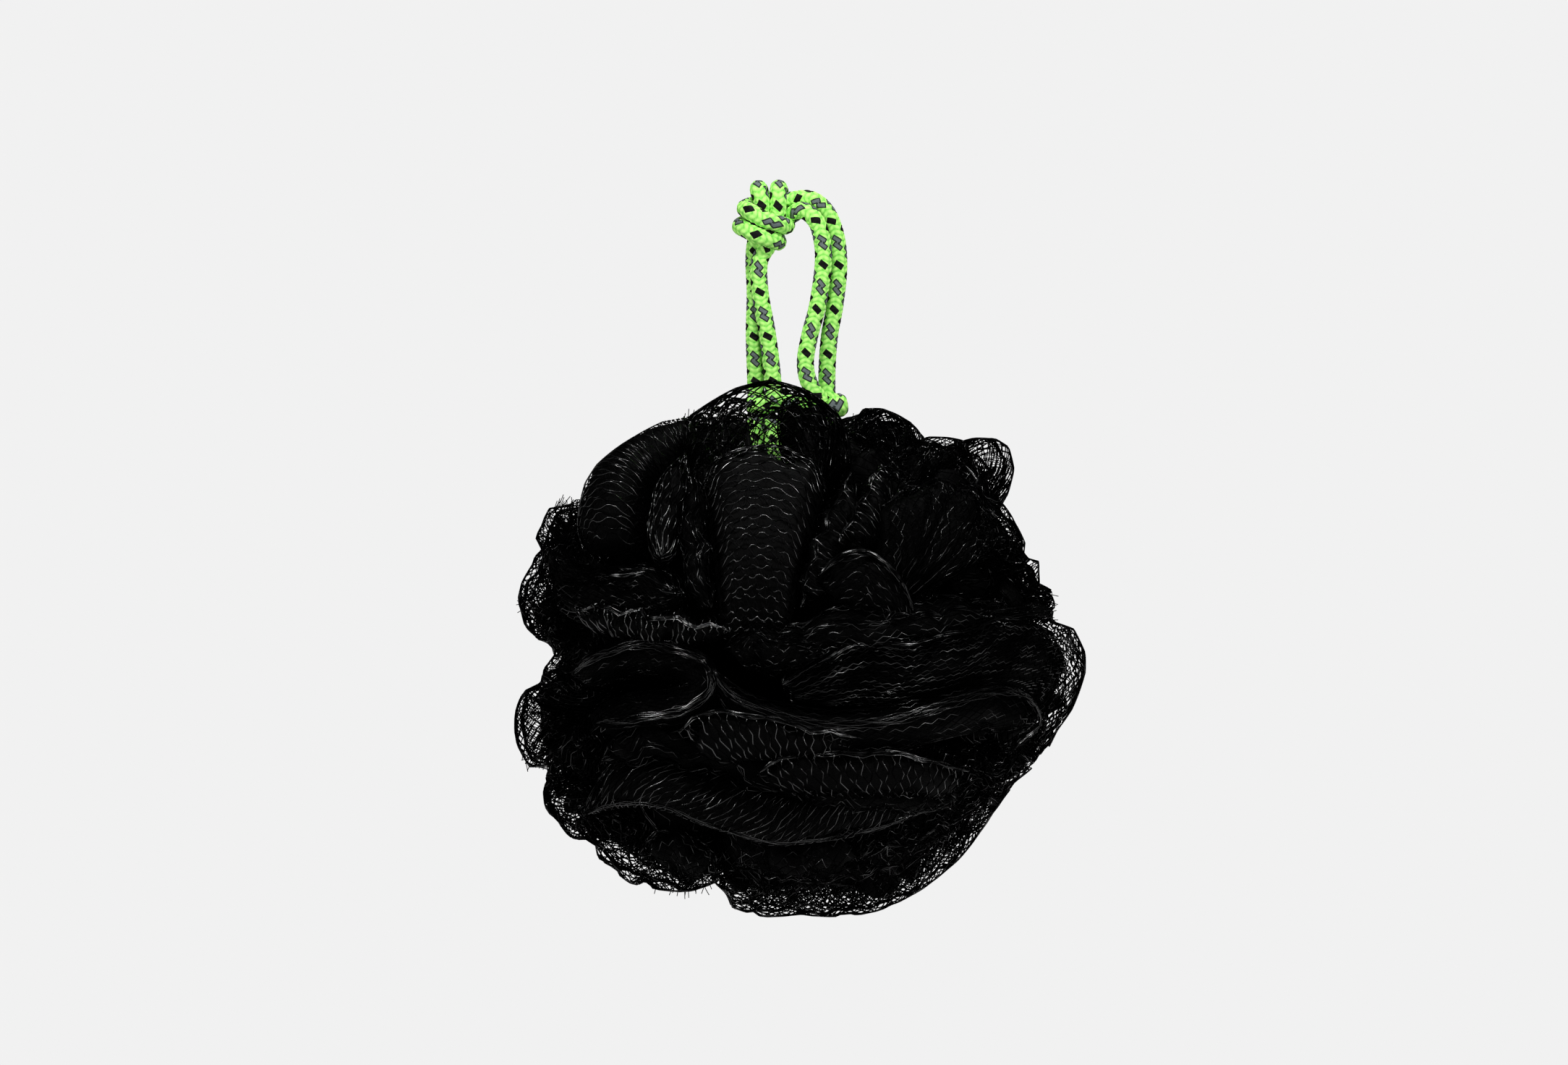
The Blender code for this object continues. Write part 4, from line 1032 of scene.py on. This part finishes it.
def behind(px, py, depth):
    """A front point carried to the back: turned about the tie's axis, mirrored and kept in the outline."""
    offset = np.array(spot(px, py, depth)) - centre
    reach, angle = math.hypot(offset[0], offset[2]), math.atan2(offset[2], offset[0])
    turned = math.pi - angle + back_turn
    scale = 0.975 * outline_reach(np.array(turned)) / outline_reach(np.array(angle))
    x, z = math.cos(turned) * reach * scale, math.sin(turned) * reach * scale
    return centre + np.array((x, -offset[1] * 0.98, z))


def inward(space, shrink, turn):
    """The same fold again further in, turned a little about the tie's axis."""
    def place(px, py, depth):
        offset = (np.array(space(px, py, depth)) - centre) * shrink
        c, s = math.cos(turn), math.sin(turn)
        return centre + np.array((offset[0] * c - offset[2] * s, offset[1], offset[0] * s + offset[2] * c))
    return place


def as_given(x, y, z):
    return np.array((x, y, z))


# Folds round the sides, between the front fan and the back fan

side_count = 16
side_slant = math.radians(42)
side_reach = 0.036
half_depth = 0.060
neck_half_angle = 17


def side_spot(angle, y, share):
    """A place on the sides, moved in towards the waist until it is clear of the neck."""
    reach = float(outline_reach(np.array(angle))) * math.sqrt(1 - (y / half_depth) ** 2) * share
    for _ in range(60):
        x, z = centre[0] + math.cos(angle) * reach, centre[2] + math.sin(angle) * reach
        if z < neck_limit(x, y) - 0.0008:
            break
        reach -= 0.0006
    return (x, y, z)


def side_folds():
    made = []
    for number in range(side_count):
        first = math.tau * number / side_count
        heading = first + math.radians(3) * math.sin(3 * first)
        outer = float(side_share(np.array(heading))) + 0.012 * math.sin(number * 2.4)
        near_neck = abs(math.degrees(heading) - 90) < neck_half_angle
        runs = ((-side_reach, -0.0065), (0.0065, side_reach)) if near_neck else ((-side_reach, side_reach),)
        for begin, end in runs:
            ys = np.linspace(begin, end, 5 if near_neck else 9)
            turns = [heading + side_slant * y / half_depth + 0.05 * math.sin(140 * y + number) for y in ys]
            crest = [side_spot(turn, y, outer) for turn, y in zip(turns, ys)]
            root = [side_spot(turn, y * 0.45, 0.42) for turn, y in zip(turns, ys)]
            made.append(dict(crest=crest, root=root, front=9.5, back=9.5, close=0.8, ends=0.35, deep=0.62,
                             waves=3, across=number % 3 == 1, cell=3.4 + 0.8 * (number % 3),
                             row=1.5 + 0.25 * (number % 4), packed=2.6))
    return made


def all_folds():
    """Every fold as its side, its space, its seed and its own values."""
    made = []
    for side, space, shift in (("front", spot, 0), ("back", behind, 100)):
        for number, spec in enumerate(front_folds):
            own = {**spec, "shown": side == "front"}
            twice = own.pop("twice", 0)
            if side == "back":
                own["cell"], own["row"], twice = own["cell"] * 1.2, own["row"] * 1.15, 0
            made.append((side, space, number + shift, own))
            for again in range(twice):
                further_in = inward(space, 0.978 - 0.028 * again, 0.02 if (number + again) % 2 else -0.025)
                seed = number + shift + 200 * (again + 1)
                made.append((side, further_in, seed, {**own, "deep": 0.45, "ruffle": 1.4}))
    for number, spec in enumerate(side_folds()):
        side = "front" if spec["crest"][0][1] < -0.02 else "back"
        made.append((side, as_given, 700 + number, {**spec, "shown": False}))
    return made


def sector_of(points):
    """The number of the length that holds these points: six of them round the waist, from the top."""
    middle = points.reshape(-1, 3).mean(axis=0) - centre
    angle = math.degrees(math.atan2(middle[2], middle[0])) % 360
    return int(((angle - 90) % 360) // 60) + 1


groups = {}
for side, space, seed, spec in all_folds():
    made, leaf, length, run = fold(seed=seed, space=space, **spec)
    group = groups.setdefault((sector_of(leaf), side), {"threads": [], "leaves": [], "run": 0.0})
    group["threads"] += made
    group["leaves"].append((leaf, length))
    group["run"] += run
for number, (edge, out, count) in enumerate(frayed_edges):
    for side, space in (("front", spot), ("back", behind)):
        ends = fringe(edge, out, count, number, space)
        groups[(sector_of(ends[0]), side)]["threads"].append(ends)

# The flat area of an open net is that of its threads with their knots, about half of the sheet's
tube_width = 0.28
knot_allowance = 1.4
thread_map_size = np.array((12.0, 500.0))
for (sector, side), group in sorted(groups.items()):
    name, node = "net_length_%d_%s_" % (sector, side), "net_length_%d" % sector
    points, faces, maps, gleams = thread_tubes(group["threads"])
    threads = new_mesh(name + "folds", points, faces, net_black,
                       {"thread": maps * thread_map_size, "OFBake": maps}, gleams)
    stand_for(threads, node, "pouf", "netting")
    own_area = knot_allowance * 2 * thread_radius * group["run"]
    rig.sheet(threads, flat=(tube_width, 2 * own_area / tube_width), held="gathered", area=own_area)
    points, quads, pattern, bake = leaf_mesh(group["leaves"])
    packed = new_mesh(name + "packed", points, [quads], packed_black, {"thread": pattern, "OFBake": bake})
    stand_for(packed, node, "pouf", "netting")

# The dense inner folds of each length: a front and a back bun joined by the waist inside the twine

bun_radius = 0.036
bun_depth = 0.040


def inner_bun(name, first_degrees):
    """A sixth of the buns, turned from one closed profile of radius and depth."""
    half = [(0.0012, -bun_depth)]
    half += [(bun_radius * math.sin(t), -bun_depth * math.cos(t)) for t in np.radians(np.linspace(8, 80, 14))]
    half += [(bun_radius, -0.0062), (bun_radius - 0.001, -0.0052), (0.0080, -0.0048), (0.0067, -0.0036)]
    profile = np.array(half + [(s, -y) for s, y in reversed(half)])
    turns = np.radians(first_degrees + np.linspace(0.3, 59.7, 31))
    s, y = profile[:, 0][None, :], profile[:, 1][None, :]
    bumps = 1 + 0.05 * np.cos(17 * turns[:, None] + y * 60) * (s > 0.02)
    slices = np.stack([np.cos(turns)[:, None] * s * bumps, np.repeat(y, len(turns), 0),
                       np.sin(turns)[:, None] * s * bumps], axis=-1) + centre
    mesh = bmesh.new()
    rows = [[mesh.verts.new(p) for p in row] for row in slices]
    for row, following in zip(rows, rows[1:]):
        for i in range(len(row)):
            j = (i + 1) % len(row)
            mesh.faces.new((row[i], row[j], following[j], following[i]))
    for row in (rows[0], rows[-1]):
        mesh.faces.new(row)
    bmesh.ops.recalc_face_normals(mesh, faces=mesh.faces)
    data = bpy.data.meshes.new(name)
    mesh.to_mesh(data)
    mesh.free()
    data.shade_smooth()
    data.materials.append(inner_black)
    return add_object(name, data)


for sector in range(1, 7):
    bun = inner_bun("net_length_%d_inner" % sector, 90 + 60 * (sector - 1))
    stand_for(bun, "net_length_%d" % sector, "pouf", "netting")

# Binding twine

twine_turns, twine_steps = 4, 40
twine_radius, waist_radius, twine_width = 0.0006, 0.0076, 0.0064
curve = bpy.data.curves.new("binding_twine", "CURVE")
curve.dimensions = "3D"
curve.bevel_depth = twine_radius
curve.bevel_resolution = 3
curve.use_fill_caps = True
spline = curve.splines.new("POLY")
spline.points.add(twine_turns * twine_steps)
for i, point in enumerate(spline.points):
    share = i / (twine_turns * twine_steps)
    angle = twine_turns * math.tau * share
    point.co = (centre[0] + math.cos(angle) * waist_radius, twine_width * (share - 0.5),
                centre[2] - math.sin(angle) * waist_radius, 1)
curve.materials.append(inner_black)
stand_for(add_object("binding_twine", curve), "waist_twine", "pouf", "twine")

# Floor, light and camera

bpy.ops.mesh.primitive_plane_add(size=1.2, location=(0, 0, -0.25))
floor = bpy.context.object
floor.name = "floor"
pale = Finish("floor")
for slot, value in (("Base Color", grey(0.80)), ("Roughness", 0.9)):
    pale.feed(pale.shader.inputs[slot], value)
floor.data.materials.append(pale.material)
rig.stage(floor)


def soft_box(name, place, size, power):
    light = bpy.data.lights.new(name, "AREA")
    light.shape = "RECTANGLE"
    light.size, light.size_y = size
    light.energy = power
    lamp = add_object(name, light)
    lamp.location = place
    lamp.rotation_euler = (Vector((0, 0, -0.08)) - Vector(place)).to_track_quat("-Z", "Y").to_euler()


soft_box("key", (0.02, -0.75, 0.78), (0.20, 0.12), 8.6)
soft_box("left", (-0.85, -0.62, 0.22), (0.12, 0.12), 4.6)
soft_box("right", (0.85, -0.70, 0.12), (0.12, 0.12), 5.2)
soft_box("top", (0.1, 0.15, 0.95), (0.2, 0.2), 5.0)

# The camera sees a pale backdrop, and the object gets only a little light from all round
world = bpy.data.worlds.new("studio")
bpy.context.scene.world = world
world.use_nodes = True
nodes, links = world.node_tree.nodes, world.node_tree.links
room, seen = nodes["Background"], nodes.new("ShaderNodeBackground")
for backdrop, colour, strength in ((room, (1, 1, 1, 1), 0.025), (seen, grey(0.880), 1.0)):
    backdrop.inputs["Color"].default_value = colour
    backdrop.inputs["Strength"].default_value = strength
mix = nodes.new("ShaderNodeMixShader")
links.new(nodes.new("ShaderNodeLightPath").outputs["Is Camera Ray"], mix.inputs[0])
links.new(room.outputs[0], mix.inputs[1])
links.new(seen.outputs[0], mix.inputs[2])
links.new(mix.outputs[0], nodes["World Output"].inputs["Surface"])

camera_data = bpy.data.cameras.new("camera")
camera_data.sensor_width = 36.0
camera_data.lens = camera_data.sensor_width * camera_distance / (image_size[0] / px_per_m)
camera = add_object("camera", camera_data)
camera.location = (view_x, -camera_distance, view_z)
camera.rotation_euler = (math.radians(90), 0, 0)
bpy.context.scene.camera = camera
bpy.context.scene.view_settings.view_transform = "Standard"

scene_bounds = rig.bounds()
with open("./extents.json", "w") as file:
    json.dump({"cad": [list(corner) for corner in cad_bounds], "scene": [list(corner) for corner in scene_bounds]},
              file)
